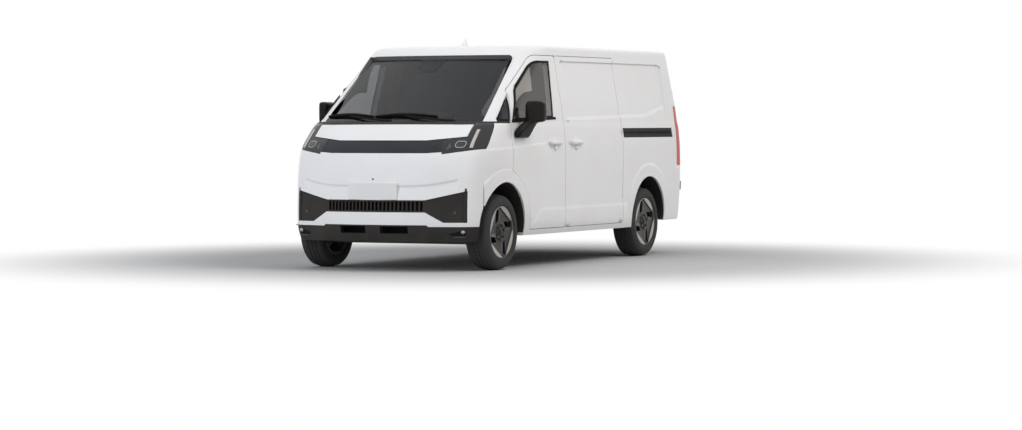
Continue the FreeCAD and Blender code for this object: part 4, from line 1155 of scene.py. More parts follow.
        for _ in range(self.cuts):
            skin = outer()
            long_edges = []
            for edge in mesh.edges:
                if edge.verts[0] in skin and edge.verts[1] in skin:
                    middle = (edge.verts[0].co + edge.verts[1].co) / 2
                    length = edge.calc_length()
                    near = shape(*spot(middle))[1]
                    if not ahead:
                        near = min(near, self.bevel(*spot(middle))[1])
                    limit = self.fine if near < 0.03 + length / 2 else self.coarse
                    if length > limit * 1.4:
                        long_edges.append(edge)
            if not long_edges:
                break
            bmesh.ops.subdivide_edges(mesh, edges=long_edges, cuts=1)
            bmesh.ops.triangulate(mesh, faces=[face for face in mesh.faces if len(face.verts) > 3])
        for vert in outer():
            rise = shape(*spot(vert.co))[0]
            if not ahead and self.sunk(vert):
                rise += self.bevel(vert.co.x, vert.co.z)[0]
            if ahead:
                vert.co.x += rise
            else:
                vert.co.y += math.copysign(rise, vert.co.y)
        return mesh

    def sunk(self, vert: bmesh.types.BMVert) -> bool:
        """Whether a point lies on the pressed panel's bed.

        Args:
            vert: the point.

        Returns:
            True where the outside faces round it lie inside the pressed outline.
        """
        spots = [face.calc_center_median() for face in vert.link_faces
                 if abs(face.normal.y) > FACING]
        if not spots:
            return False
        middle = sum(spots, Vector()) / len(spots)
        rise, near = self.bevel(middle.x, middle.z)
        return near < 1.0 and rise <= self.bevel_rise * 0.995

    def build(self) -> None:
        """Paint every panel."""
        plain = {"roof", "bonnet", "tail_door_left", "tail_door_right", "tail_beam"}
        for node in self.panels:
            mesh = merged(node) if node in plain else self.pressed(node)
            piece(f"{node}_skin", mesh, PAINT, body_of(node), 24.0, (node,))
        self.arches()

    def arches(self) -> None:
        """Dark rings that carry the arch liners out to the panels' edges."""
        face = Surface("wing_left", "side_left", "front_door_left", "front_bumper")
        radius, depth, tuck = self.lining
        arc = [(math.cos(turn), math.sin(turn))
               for turn in (math.pi * step / self.arch_steps for step in range(self.arch_steps + 1))]
        leg = [step * self.leg_pitch for step in range(1, self.leg_steps + 1)]
        path = [(1.0, -fall) for fall in reversed(leg)] + arc + [(-1.0, -fall) for fall in leg]
        reach = radius + self.lining_gap
        meshes = []
        for axle in self.axles:
            rings, out = [], self.side_y
            for across, rise in path:
                hit = face.at(Way.LEFT, axle + reach * across, self.arch_z + reach * rise)
                seen = hit and hit.y > self.panel_y
                if rise < 0 and not seen:
                    continue
                out = hit.y - tuck if seen else out
                low = radius if rise < 0 else radius - depth
                rings.append([Vector((axle + wide * across, y, self.arch_z + tall * rise))
                              for wide, tall, y in ((radius, radius, self.liner_y), (radius, radius, out),
                                                    (radius - depth, low, out),
                                                    (radius - depth, low, self.liner_y))])
            meshes.append(loft(rings))
        pair("arch_rings", joined(meshes), TRIM)


@dataclass
class Lamps:
    """Head lamps with their light bars and projectors, fog lamps and tail lamps."""

    bar: tuple[Point2, ...] = ((0.810, 1.232), (0.833, 1.232), (0.843, 1.073), (0.818, 1.073))
    ring: tuple[Point2, ...] = (
        (0.692, 1.100), (0.701, 1.081), (0.714, 1.073), (0.766, 1.073), (0.778, 1.082), (0.785, 1.106),
        (0.777, 1.125), (0.764, 1.132), (0.709, 1.132), (0.697, 1.121))
    ring_width: float = 0.0065
    well: tuple[Point2, ...] = ((0.630, 1.048), (0.668, 1.078), (0.644, 1.116))
    fog: Point2 = (0.800, 0.345)
    fog_radii: Point3 = (0.0105, 0.021, 0.0168)
    # The socket's bed is darker than the skirt around it: painted shade in the hollow.
    socket: tuple[Point2, ...] = (
        (0.680, 0.328), (0.722, 0.302), (0.818, 0.302), (0.818, 0.342), (0.783, 0.354))
    # A proud strip along the socket's lower edge, in a lighter finish: a painted highlight.
    lip: tuple[Point2, ...] = ((0.712, 0.306), (0.724, 0.297), (0.818, 0.297), (0.818, 0.309))

    def laid(self, face: Surface, rows: Sequence[tuple], pitch: float) -> None:
        """Lay plates of both hands, from rows of name, outline, stand-off, thickness and finish."""
        for name, outline, proud, depth, finish in rows:
            pair(name, face.patch(Way.FRONT, outline, proud, depth, pitch), finish)

    def head(self) -> None:
        """Dress both head lamps."""
        face = Surface("headlamp_left")
        for hand in HANDS:
            smooth_copy(f"headlamp_{hand}", LAMP)
        inner = bordered(self.ring, self.ring_width)
        ring = face.band(Way.FRONT, self.ring, inner, 0.003, 0.008, 0.01)
        pair("projector_ring", ring, CHROME)
        self.laid(face, (("light_bar", self.bar, 0.0015, 0.006, LIGHT_BAR),
                         ("projector_eye", bordered(inner, 0.004), 0.002, 0.004, SCREEN),
                         ("lamp_well", self.well, 0.001, 0.004, LAMP_WELL)), 0.02)

    def fogs(self) -> None:
        """Fog lamps in slanted sockets of the skirt, each with a darker bed that paints the shade in its
        hollow and a lighter lip that paints the highlight on its lower edge.
        """
        face = Surface("front_skirt")
        # The bed is painted shade in the socket, and the lip is a painted highlight on its lower edge.
        self.laid(face, (("fog_bed", self.socket, 0.0010, 0.004, RUBBER),
                         ("fog_lip", self.lip, 0.0030, 0.006, LAMP_WELL)), 0.012)
        pair("fog_lens", ball(face.at(Way.FRONT, *self.fog), self.fog_radii, 24, 12), CHROME)

    def build(self) -> None:
        """Dress all the lamps."""
        self.head()
        self.fogs()
        smooth_copy("tail_lamps", TAIL_RED)


@dataclass
class FrontTrim:
    """Nose band, grille, skirt, plate blank, sensors and the cowl."""

    plate: tuple[Point2, Point2] = ((-0.24, 0.622), (0.24, 0.770))
    plate_depth: float = 0.03
    sensor_radius: float = 0.011
    sensors: tuple[Point2, ...] = ((0.735, 0.512), (-0.735, 0.512))
    eye: Point2 = (0.0, 0.80)
    eye_radius: float = 0.009
    tray: tuple[Point3, Point3] = ((2.12, -0.52, 0.262), (2.126, 0.52, 0.398))
    blade_low: float = 0.432
    blade_high: float = 0.722
    blade_inner: float = 0.806
    blade_outer: float = 0.833
    blade_steps: int = 16
    blade_taper: Point3 = (0.66, 0.06, 0.014)

    def blade(self) -> Mesh:
        """The upright air blade beside the left wing.

        Returns:
            The left blade.
        """
        skin = Surface("front_bumper")
        start, run, taper = self.blade_taper
        rings = []
        for step in range(self.blade_steps + 1):
            z = self.blade_low + (self.blade_high - self.blade_low) * step / self.blade_steps
            edge = skin.at(Way.FRONT, self.blade_outer + 0.010, z)
            inner = self.blade_inner + taper * smoothstep((z - start) / run)
            near = skin.at(Way.FRONT, inner, z) if z > self.blade_low + 0.25 else None
            front = max(edge.x + 0.016, near.x + 0.003 if near and near.x > edge.x else 0.0)
            rings.append([Vector((x, y, z)) for x, y in (
                (edge.x - 0.02, self.blade_outer), (edge.x + 0.006, self.blade_outer),
                (front, (inner + self.blade_outer) / 2), (front, inner), (edge.x - 0.02, inner))])
        return loft(rings)

    def build(self) -> None:
        """Dress the front trim."""
        smooth_copy("nose_band", BAND)
        for node in ("lower_grille", "front_skirt", "cowl_trim"):
            smooth_copy(node, TRIM)
        nose = Surface("front_bumper", "nose_band", "lower_grille")
        (left, low), (right, high) = self.plate
        plate_x = min(CAD_BOX[1].x - 0.0012, nose.at(Way.FRONT, 0.0, high).x + 0.012)
        plate = rounded_box((plate_x - self.plate_depth, left, low), (plate_x, right, high), 0.006)
        piece("plate_blank_front", plate, PLATE, "root")
        dots = [nose.patch(Way.FRONT, round_outline(spot, radius), proud, 0.004, 0.05)
                for spot, radius, proud in (*((spot, self.sensor_radius, 0.0012) for spot in self.sensors),
                                            (self.eye, self.eye_radius, 0.0008))]
        piece("front_sensors", joined(dots), GLOSS, "root")
        piece("intake_back", rounded_box(*self.tray, 0.002, 1), RUBBER, "root")
        pair("air_blade", self.blade(), TRIM)


@dataclass
class Glazing:
    """Windscreen with its border, side glass with seals, sensor box and wipers."""

    screen: tuple[Point2, ...] = ((-0.792, 1.290), (0.792, 1.290), (0.722, 1.893), (-0.722, 1.893))
    border: float = 0.035
    window: tuple[Point2, ...] = (
        (0.680, 1.340), (0.607, 1.838), (0.926, 1.838), (1.300, 1.590), (1.492, 1.312))
    quarter: tuple[Point2, ...] = ((1.676, 1.312), (1.552, 1.312), (1.435, 1.520), (1.668, 1.331))
    bend_reach: float = 0.11
    wiper_spans: tuple[tuple[float, float, float], ...] = ((-0.775, -0.25, -0.03), (-0.225, 0.38, 0.56))
    wiper_z: float = 1.346
    wiper_bow: float = 0.012
    pivot_z: float = 1.304
    arm_rise: float = 0.044
    blade_parts: int = 12
    arm_parts: int = 8
    sensor_box: tuple[Point2, ...] = ((-0.135, 1.885), (0.135, 1.885), (0.08, 1.745), (-0.08, 1.745))

    def wipers(self, face: Surface) -> None:
        """Two parked wipers above the cowl.

        Args:
            face: the windscreen's outside.
        """
        meshes = []
        for start, end, pivot in self.wiper_spans:
            blade, arm = [], []
            for share in (step / self.blade_parts for step in range(self.blade_parts + 1)):
                blade.append(face.at(Way.FRONT, start + (end - start) * share,
                                     self.wiper_z + self.wiper_bow * math.sin(math.pi * share), 0.012))
            for share in (step / self.arm_parts for step in range(self.arm_parts + 1)):
                proud = 0.016 + 0.014 * math.sin(math.pi * share)
                arm.append(face.at(Way.FRONT, pivot + ((start + end) / 2 - pivot) * share,
                                   self.pivot_z + self.arm_rise * share, proud))
            blade, arm = ([spot for spot in spots if spot] for spots in (blade, arm))
            swell = [math.sin(math.pi * index / self.blade_parts) for index in range(len(blade))]
            meshes.append(tube(blade, [(0.008 + 0.007 * rise, 0.012 + 0.014 * rise) for rise in swell],
                               WIPER_UP, 8))
            meshes.append(tube(arm, [(0.014 - 0.0007 * index, 0.009) for index in range(len(arm))],
                               WIPER_UP, 8))
        piece("wipers", joined(meshes), RUBBER, "root")

    def build(self) -> None:
        """Dress the glass and what is on it."""
        for node in ("windscreen", "quarter_glasses"):
            smooth_copy(node, SCREEN_GLASS)
        for hand in HANDS:
            smooth_copy(f"door_glass_{hand}", SIDE_GLASS)
        face = Surface("windscreen")
        inner = bordered(self.screen, self.border)
        inner[:2] = [(y, z + 0.02) for y, z in inner[:2]]
        frit = face.band(Way.FRONT, bordered(self.screen, 0.004), inner, 0.0006, 0.001, 0.05)
        piece("screen_border", frit, GLOSS, "root")
        self.wipers(face)
        box = face.patch(Way.FRONT, self.sensor_box, 0.0006, 0.001)
        piece("sensor_box", box, BAND, "root")
        door = Surface("front_door_left", "door_glass_left")
        window = bent(self.window, 2, self.bend_reach)
        seal = door.band(Way.LEFT, bordered(window, -0.009), bordered(window, 0.013), 0.002, 0.006)
        pair("door_seal", seal, RUBBER, "front_door")
        fill = bordered(window, -0.005)[2:11] + bordered(self.window, -0.014)[2:3]
        corner = door.patch(Way.LEFT, fill, 0.0012, 0.006, 0.02)
        pair("door_corner", corner, PAINT, "front_door")
        seal = Surface("roof", "quarter_glasses").band(
            Way.LEFT, bordered(self.quarter, -0.012), bordered(self.quarter, 0.008), 0.0012, 0.004, 0.03)
        pair("quarter_seal", seal, RUBBER)


@dataclass
class SideTrim:
    """Belt strips, mirrors, handles, aerial and slide rails."""

    belt: tuple[Point2, ...] = ((0.615, 1.318), (1.512, 1.288), (1.512, 1.310), (0.625, 1.340))
    channel: tuple[Point2, ...] = ((-0.860, 1.172), (-0.860, 1.212), (-1.975, 1.212), (-1.975, 1.172))
    pulls: tuple[tuple[str, str, float], ...] = (
        ("front_handle", "front_door", 0.6925), ("slider_handle", "sliding_door", 0.2425))
    pull_length: float = 0.250
    pull_out: float = 0.9785
    pull_z: float = 1.107
    pull_thick: float = 0.0265
    pull_tall: float = 0.0225
    pull_steps: int = 24
    lock_y: float = 0.964
    lock_drop: float = 0.046
    lock_radii: Point3 = (0.030, 0.026, 0.024)
    mirror_voxel: float = 0.006
    mirror_rounds: int = 34
    glass: tuple[Point2, Point2] = ((1.018, 1.308), (1.124, 1.464))
    fin_foot: float = 1.975
    fin_steps: int = 12

    def build(self) -> None:
        """Dress the side trim."""
        strip = Surface("front_door_left").patch(Way.LEFT, self.belt, 0.0035, 0.008, 0.04)
        pair("belt_strip", strip, RUBBER, "front_door")
        x, (low, high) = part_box("mirror_left")[0].x, self.glass
        glass = rounded_box((x - 0.0005, *low), (x + 0.004, *high), 0.002)
        pair("mirror_face", glass, MIRROR, "front_door")
        for node in ("mirror_left", "mirror_right"):
            shell = softened(merged(node), self.mirror_voxel, self.mirror_rounds)
            piece(f"{node}_shell", shell, CASE, body_of(node), 80.0, (node,))
        dress("slide_rails", SATIN)
        rail = Surface("slide_rails")
        channel = rail.band(Way.LEFT, self.channel, bordered(self.channel, 0.006), 0.002, 0.004, 0.05)
        pair("rail_channel", channel, SATIN)
        bed = rail.patch(Way.LEFT, bordered(self.channel, 0.007), 0.0006, 0.002, 0.05)
        pair("rail_bed", bed, RUBBER)
        for name, node, start in self.pulls:
            self.handle(name, node, start)
        self.aerial()

    def aerial(self) -> None:
        """The fin on the roof, thinning and leaning back as it rises."""
        low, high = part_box("roof_aerial")
        rings = []
        for share in (step / self.fin_steps for step in range(self.fin_steps + 1)):
            size = math.cos(share * math.pi / 2) ** 0.55 if share < 1 else 0.02
            back = low.x + 0.10 * (high.x - low.x) * share
            front = high.x - (high.x - low.x) * 0.72 * share ** 0.7
            rings.append([Vector(((front + back) / 2 + (front - back) / 2 * math.cos(turn) * size,
                                  (high.y - low.y) / 2 * math.sin(turn) * size * (1 - 0.55 * share),
                                  self.fin_foot + (high.z - self.fin_foot) * share))
                          for turn in turns(SECTION)])
        piece("aerial_fin", loft(rings), PAINT, "root", 50.0, ("roof_aerial",))

    def handle(self, name: str, node: str, start: float) -> None:
        """A pull handle of both hands, with its lock.

        Args:
            name: the handle's name.
            node: the door that it rides, before the hand.
            start: X of its middle.
        """
        rings = []
        for step in range(self.pull_steps + 1):
            along = 2 * step / self.pull_steps - 1
            along = math.copysign(1 - (1 - abs(along)) ** 1.6, along)
            end = max(0.03, (1 - abs(along) ** 9) ** 0.5)
            taper = 1 + 0.06 * along
            rings.append([Vector((
                start + self.pull_length / 2 * along,
                self.pull_out + self.pull_thick * end * squarish(math.cos(turn)),
                self.pull_z + self.pull_tall * taper * end * squarish(math.sin(turn))))
                for turn in turns(SECTION)])
        pair(f"{name}_bar", loft(rings), PAINT, node, 40.0)
        lock = ball(Vector((start, self.lock_y, self.pull_z - self.lock_drop)), self.lock_radii, SECTION, 16)
        pair(f"{name}_lock", lock, PAINT, node, 40.0)


# Wheels

@dataclass
class Wheel:
    """One road wheel: treaded tyre, dark four-slot face, cut crescents, nuts and cap, with a painted
    highlight on the blades' sloped facets.
    """

    axle: str
    hand: str
    width: float = 0.225
    radius: float = 0.331
    rim: float = 0.2265
    well: float = 0.2160
    plate_out: float = 0.094
    crescent: tuple[float, float] = (-3.0, 65.0)
    crescent_steps: int = 14
    slot: tuple[Point2, ...] = ((38.0, 0.113), (65.0, 0.210), (72.0, 0.207), (79.5, 0.194), (66.0, 0.110))
    # Corners (angle, radius, outboard) of the sloped facet that carries the blades' painted highlight.
    lit_facet: tuple[Point3, ...] = (
        (67.0, 0.104, -0.004), (80.5, 0.192, -0.003), (86.5, 0.184, -0.0075), (84.0, 0.098, -0.0095))
    nut_circle: float = 0.058
    nuts: int = 6
    nut_start: float = 0.3
    shoulder: tuple[Point2, ...] = (
        (0.2275, 0.84), (0.233, 0.92), (0.240, 0.965), (0.250, 0.988), (0.266, 0.999), (0.281, 0.985),
        (0.297, 0.94), (0.311, 0.87), (0.320, 0.78), (0.323, 0.60))
    tread_blocks: int = 64
    block_half: float = 0.0145
    block_depth: float = 0.012
    block_inset: float = 0.0006
    crown_drop: float = 0.05
    tread: tuple[Point2, ...] = (
        (-0.088, 0.030), (-0.050, 0.026), (-0.014, 0.028), (0.024, 0.026), (0.058, 0.030))

    def centre(self) -> Vector:
        """The middle of the wheel."""
        low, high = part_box(f"tyre_{self.axle}_{self.hand}")
        return (low + high) / 2

    def tyre(self) -> Mesh:
        """The tyre, from a rounded profile and blocks of tread.

        Returns:
            The tyre in its place.
        """
        half = self.width / 2
        outline = [(radius, half * share) for radius, share in self.shoulder]
        parts = [turned(outline + [(radius, -out) for radius, out in reversed(outline)], 128)]
        for out, wide in self.tread:
            edge = max(abs(out), abs(out + wide)) / half
            top = self.radius - self.block_inset - self.crown_drop * edge ** 6
            unit = rounded_box((-self.block_half, out, top - self.block_depth),
                               (self.block_half, out + wide, top), 0.002, 1)
            start = 0.0 if out < 0 else math.pi / self.tread_blocks
            parts.append(self.ring(unit, self.tread_blocks, start, TYRE))
        return self.placed(joined(parts))

    def ring(self, mesh: Mesh, count: int, start: float, finish: Finish) -> Mesh:
        """A mesh repeated evenly round the axle."""
        return repeated(mesh, count, (0, start, 0), (0, 2 * math.pi / count, 0), finish, True)

    def fours(self, mesh: Mesh, finish: Finish) -> Mesh:
        """A quarter's piece, four times round the axle."""
        return repeated(mesh, 4, (0, 0, 0), (0, -math.pi / 2, 0), finish, True)

    def around(self, turn: float, radius: float, out: float) -> Vector:
        """A point from its angle in degrees, radius and distance outboard of the plate."""
        turn = math.radians(turn)
        return Vector((radius * math.cos(turn), self.plate_out + out, radius * math.sin(turn)))

    def plate(self, outline: Sequence[Point3], thick: float) -> Mesh:
        """A flat part of the wheel's face, from (angle, radius, outboard) corners."""
        return slab([self.around(*corner) for corner in outline], Vector((0, -thick, 0)))

    def disc(self, profile: Sequence[Point2], steps: int) -> Mesh:
        """A turned part of the wheel's face, from (radius, outboard) pairs."""
        return turned([(radius, self.plate_out + out) for radius, out in profile], steps)

    def face(self) -> Mesh:
        """The dark plate with its four slots, and a sloped rib beside each crescent.

        Returns:
            The plate in its place.
        """
        disc = self.disc([(0.020, -0.024), (self.well, -0.024), (self.well, -0.006), (0.170, -0.007),
                          (0.110, -0.011), (0.070, -0.007), (0.020, -0.006)], 96)
        slots = self.fours(self.plate([(turn, radius, 0.02) for turn, radius in self.slot], 0.08), ALLOY_DARK)
        first, last = (self.around(turn, self.well - 0.001, 0.001) for turn in self.crescent)
        inward = Vector((first.x + last.x, 0, first.z + last.z)).normalized() * -0.009
        low = Vector((0, -0.007, 0))
        rib = loft([[end, end + inward + low + along, end + inward + low * 2.4 + along, end + low * 2.4]
                    for end, along in ((first, (last - first).normalized() * 0.012),
                                       (last, (first - last).normalized() * 0.012))])
        return self.placed(joined([carved(disc, slots), self.fours(rib, ALLOY_DARK)]))

    def bright(self) -> Mesh:
        """The cut crescents and the rim's lip.

        Returns:
            The bright parts in their place.
        """
        start, end = self.crescent
        arc = [(start + (end - start) * step / self.crescent_steps, self.rim - 0.0015, 0.006)
               for step in range(self.crescent_steps + 1)]
        chord = [(end, self.well, 0.002), (start, self.well, 0.002)]
        ring = self.disc([(self.rim - 0.006, 0.001), (self.rim - 0.004, 0.008), (self.rim - 0.0005, 0.007),
                          (self.rim - 0.0005, -0.004), (self.rim - 0.006, -0.004)], 128)
        return self.placed(joined([self.fours(self.plate(arc + chord, 0.012), ALLOY_CUT), ring]))

    def facets(self) -> Mesh:
        """The sloped facets beside the slots, lighter and bluer than the dark face: a painted highlight on
        the blades' lit side faces.
        """
        return self.placed(self.fours(self.plate(self.lit_facet, 0.008), ALLOY_FACET_HIGHLIGHT))

    def placed(self, mesh: Mesh) -> Mesh:
        """Move a mesh made about the origin, outboard along +Y, to the wheel.

        Args:
            mesh: the mesh, freed here where it is mirrored.

        Returns:
            The mesh in its place.
        """
        if self.hand == "right":
            left, mesh = mesh, flipped(mesh)
            left.free()
        bmesh.ops.translate(mesh, vec=self.centre(), verts=mesh.verts)
        return mesh

    def hub(self) -> Mesh:
        """The nuts and the ring that they stand in.

        Returns:
            The hub in its place.
        """
        disc = self.disc([(0.018, -0.02), (0.074, -0.02), (0.079, -0.006), (0.072, -0.002), (0.046, -0.006),
                          (0.036, -0.002), (0.018, -0.002)], 64)
        nut = bmesh.new()
        bmesh.ops.create_cone(nut, cap_ends=True, segments=6, radius1=0.0095, radius2=0.008, depth=0.016)
        bmesh.ops.rotate(nut, matrix=Matrix.Rotation(-math.pi / 2, 3, "X"), verts=nut.verts)
        bmesh.ops.translate(nut, vec=(self.nut_circle, self.plate_out, 0), verts=nut.verts)
        return self.placed(joined([disc, self.ring(nut, self.nuts, self.nut_start, ALLOY_DARK)]))

    def cap(self) -> Mesh:
        """The blank centre cap."""
        return self.placed(self.disc([(0.0002, -0.01), (0.029, -0.01), (0.029, 0.002), (0.026, 0.005),
                                      (0.014, 0.005), (0.012, 0.0085), (0.0002, 0.009)], 48))

    def barrel(self) -> Mesh:
        """The rim's barrel with its rolled lips, and the brake disc behind the face.

        Returns:
            Both in their place.
        """
        half = self.width / 2
        low = self.well - 0.015
        barrel = turned([(self.rim, -half + 0.015), (self.rim, half - 0.022),
                         (self.rim - 0.008, half - 0.024), (self.well, half - 0.030), (low, half - 0.05),
                         (low, -half + 0.02)])
        disc = turned([(0.05, -0.020), (0.150, -0.020), (0.150, -0.002), (0.07, -0.002), (0.07, 0.06),
                       (0.05, 0.06)], 64)
        return self.placed(joined([barrel, disc]))

    def build(self) -> None:
        """Dress the wheel."""
        name = f"{self.axle}_{self.hand}"
        body = f"wheel_{name}"
        piece(f"tread_{name}", self.tyre(), TYRE, body, 40.0, (f"tyre_{name}",))
        piece(f"barrel_{name}", self.barrel(), ALLOY_DARK, body, 35.0, (f"rim_{name}",))
        # The facets part is the painted highlight on the blades' side faces.
        for part, mesh, finish in (("face", self.face(), ALLOY_DARK), ("crescents", self.bright(), ALLOY_CUT),
                                   ("facets", self.facets(), ALLOY_FACET_HIGHLIGHT), ("hub", self.hub(), ALLOY_DARK),
                                   ("cap", self.cap(), ALLOY_DARK)):
            piece(f"{part}_{name}", mesh, finish, body, 20.0)


# Cab

@dataclass
class Seat:
    """A padded cab seat: cushion, back and head restraint, filled like cloth over foam."""

    name: str
    voxel: float = 0.011
    puff: float = 0.018
    frames: int = 16

    def block(self, outline: Sequence[Point2], low_y: float, high_y: float) -> Mesh:
        """A pad from its side outline.

        Args:
            outline: (X, Z) corners.
            low_y: its right side.
            high_y: its left side.

        Returns:
            The closed pad.
        """
        mesh = slab([Vector((x, low_y, z)) for x, z in outline], Vector((0, high_y - low_y, 0)))
        bmesh.ops.bevel(mesh, geom=list(mesh.edges), offset=0.03, segments=3, affect="EDGES", profile=0.6)
        return mesh

    def filled(self, name: str, mesh: Mesh) -> Mesh:
        """Let a pad swell under its cover.

        Args:
            name: the pad's name.
            mesh: its plain shape.

        Returns:
            The swollen shape.
        """
        pad = evened(name, mesh, self.voxel)
        even = evaluated(pad)
        pad.modifiers.clear()
        pad.data = even
        rest = [vert.co.copy() for vert in even.vertices]
        cloth = pad.modifiers.new("cover", "CLOTH")
        cloth.settings.use_pressure = True
        cloth.settings.uniform_pressure_force = 4.0
        cloth.settings.effector_weights.gravity = 0.0
        cloth.point_cache.frame_start, cloth.point_cache.frame_end = 1, self.frames
        for number in range(1, self.frames + 1):
            bpy.context.scene.frame_set(number)
        swollen = evaluated(pad)
        pad.modifiers.clear()
        pad.data = swollen
        bpy.context.scene.frame_set(1)
        for vert, start in zip(swollen.vertices, rest):
            move = vert.co - start
            if move.length > self.puff:
                vert.co = start + move.normalized() * self.puff
        return eased(taken(pad), 1)

    def build(self, across: Optional[dict[str, Mesh]] = None) -> dict[str, Mesh]:
        """Make the seat's pads.

        Args:
            across: pads of the seat across the cab, to be mirrored.

        Returns:
            Copies of this seat's pads, by name.
        """
        low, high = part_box(self.name)
        if across:
            pads = {key: flipped(mesh) for key, mesh in across.items()}
        else:
            inner, outer = low.y + 0.03, high.y - 0.03
            front, back = high.x - 0.03, low.x + 0.02
            middle = (inner + outer) / 2
            bolster = [(front - 0.05, 0.69), (back + 0.22, 0.69), (back + 0.21, 0.79), (front - 0.08, 0.785)]
            plans = {
                "cushion": ([(front, 0.675), (back + 0.20, 0.675), (back + 0.19, 0.765), (front - 0.1, 0.765),
                             (front, 0.73)], inner, outer),
                "bolster_in": (bolster, inner - 0.005, inner + 0.075),
                "bolster_out": (bolster, outer - 0.075, outer + 0.005),
                "back": ([(back + 0.19, 0.70), (back + 0.115, 0.70), (back + 0.05, 1.22),
                          (back + 0.12, 1.22)], inner + 0.01, outer - 0.01),
                "head": ([(back + 0.095, 1.27), (back + 0.03, 1.27), (back + 0.02, 1.40),
                          (back + 0.075, 1.40)], middle - 0.12, middle + 0.12)}
            pads = {key: self.filled(f"{self.name}_{key}", self.block(*plan)) for key, plan in plans.items()}
        kept = {key: mesh.copy() for key, mesh in pads.items()}
        for key, mesh in pads.items():
            made = piece(f"{self.name}_{key}", mesh, CLOTH, "root", 60.0,
                         (self.name,) if key == "cushion" else ())
        self.posts(low, high)
        return kept

    def posts(self, low: Vector, high: Vector) -> None:
        """The head restraint's two rods.

        Args:
            low: the seat's lowest corner.
            high: its highest corner.
        """
        foot = Vector((low.x + 0.085, (low.y + high.y) / 2, 1.18))
        rod = Vector((-0.012, 0, 0.12))
        meshes = [tube([foot + shift, foot + shift + rod], [(0.006, 0.006)] * 2, SIDEWAYS)
                  for shift in (Vector((0, -0.06, 0)), Vector((0, 0.06, 0)))]
        piece(f"{self.name}_rods", joined(meshes), CHROME, "root")


@dataclass
class Cab:
    """Dashboard, displays, steering wheel, inside mirror, seats and linings."""

    display: tuple[Point2, Point2] = ((-0.16, 1.13), (0.16, 1.325))
    cluster: tuple[Point2, Point2] = ((0.28, 1.19), (0.53, 1.285))
    slats: tuple[float, ...] = (-0.62, -0.27, 0.27, 0.66)
    slat: tuple[Point2, Point2] = ((-0.055, 1.06), (0.055, 1.065))
    slat_count: int = 6
    slat_step: float = 0.011
    mirror_z: float = 1.79
    mirror: tuple[Point2, Point2] = ((-0.125, 1.700), (0.125, 1.765))
    middle: Point3 = (0.95, 0.0, 1.30)
    reach: Point2 = (0.28, 1.75)
    headliner_z: float = 1.92

    def build(self) -> None:
        """Dress the cab."""
        smooth_copy("dashboard", DASH)
        smooth_copy("steering_wheel", HIDE, 45.0)
        for node, finish in (("seat_plinths", DASH), ("bulkhead", BOARD), ("firewall", BOARD),
                             ("floor", MAT)):
            dress(node, finish)
        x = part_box("dashboard")[0].x
        face, cluster, slat = (
            rounded_box((x + back, *low), (x + front, *high), radius, segments)
            for (low, high), back, front, radius, segments in (
                (self.display, -0.035, -0.012, 0.008, 3), (self.cluster, -0.02, 0.012, 0.01, 3),
                (self.slat, -0.006, 0.01, 0.002, 1)))
        piece("displays", joined([face, cluster]), SCREEN, "root")
        vents = [repeated(slat.copy(), self.slat_count, (0, y, 0), (0, 0, self.slat_step), DASH)
                 for y in self.slats]
        slat.free()
        piece("air_vents", joined(vents), GLOSS, "root")
        x = Surface("windscreen").at(Way.FRONT, 0.0, self.mirror_z).x
        low, high = self.mirror
        bowl = rounded_box((x - 0.115, *low), (x - 0.075, *high), 0.016)
        spots = [Vector((x - back, 0.0, z)) for back, z in ((0.09, 1.75), (0.055, 1.785), (0.028, 1.80))]
        stalk = tube(spots, [(0.012, 0.012)] * 3, Vector((0, 1, 0)))
        piece("inside_mirror", joined([bowl, stalk]), DASH, "root")
        self.linings()
        Seat("passenger_seat").build(Seat("driver_seat").build())

    def linings(self) -> None:
        """Headliner, pillar trim and door cards over the panels' inner faces."""
        middle = Vector(self.middle)

        def inside(spot: Vector, normal: Vector) -> bool:
            """Whether a face looks into the cab."""
            facing = normal.dot((middle - spot).normalized()) > FACING
            return self.reach[0] < spot.x < self.reach[1] and facing

        for name, node, finish, slot, keep in (
                ("headliner", "roof", TAN, "seat_cloth",
                 lambda spot, normal: inside(spot, normal) and spot.z > self.headliner_z),
                ("pillar_trim", "roof", DASH, "dash_plastic",
                 lambda spot, normal: inside(spot, normal) and spot.z <= self.headliner_z),
                ("door_card_left", "front_door_left", DASH, "dash_plastic", inside),
                ("door_card_right", "front_door_right", DASH, "dash_plastic", inside)):
            piece(name, lined(node, keep, 0.003, 0.002), finish, body_of(node), 40.0)


@dataclass
class Underside:
    """Axles, casings and arch liners."""

    def build(self) -> None:
        """Dress what is under the floor."""
        for finish, nodes in ((CASING, ("battery_pack", "motor_block")),
                              (STEEL, ("front_subframe", "rear_axle", "knuckle_left", "knuckle_right")),
                              (TRIM, ("front_arch_liners", "rear_arch_liners"))):
            for node in nodes:
                dress(node, finish)


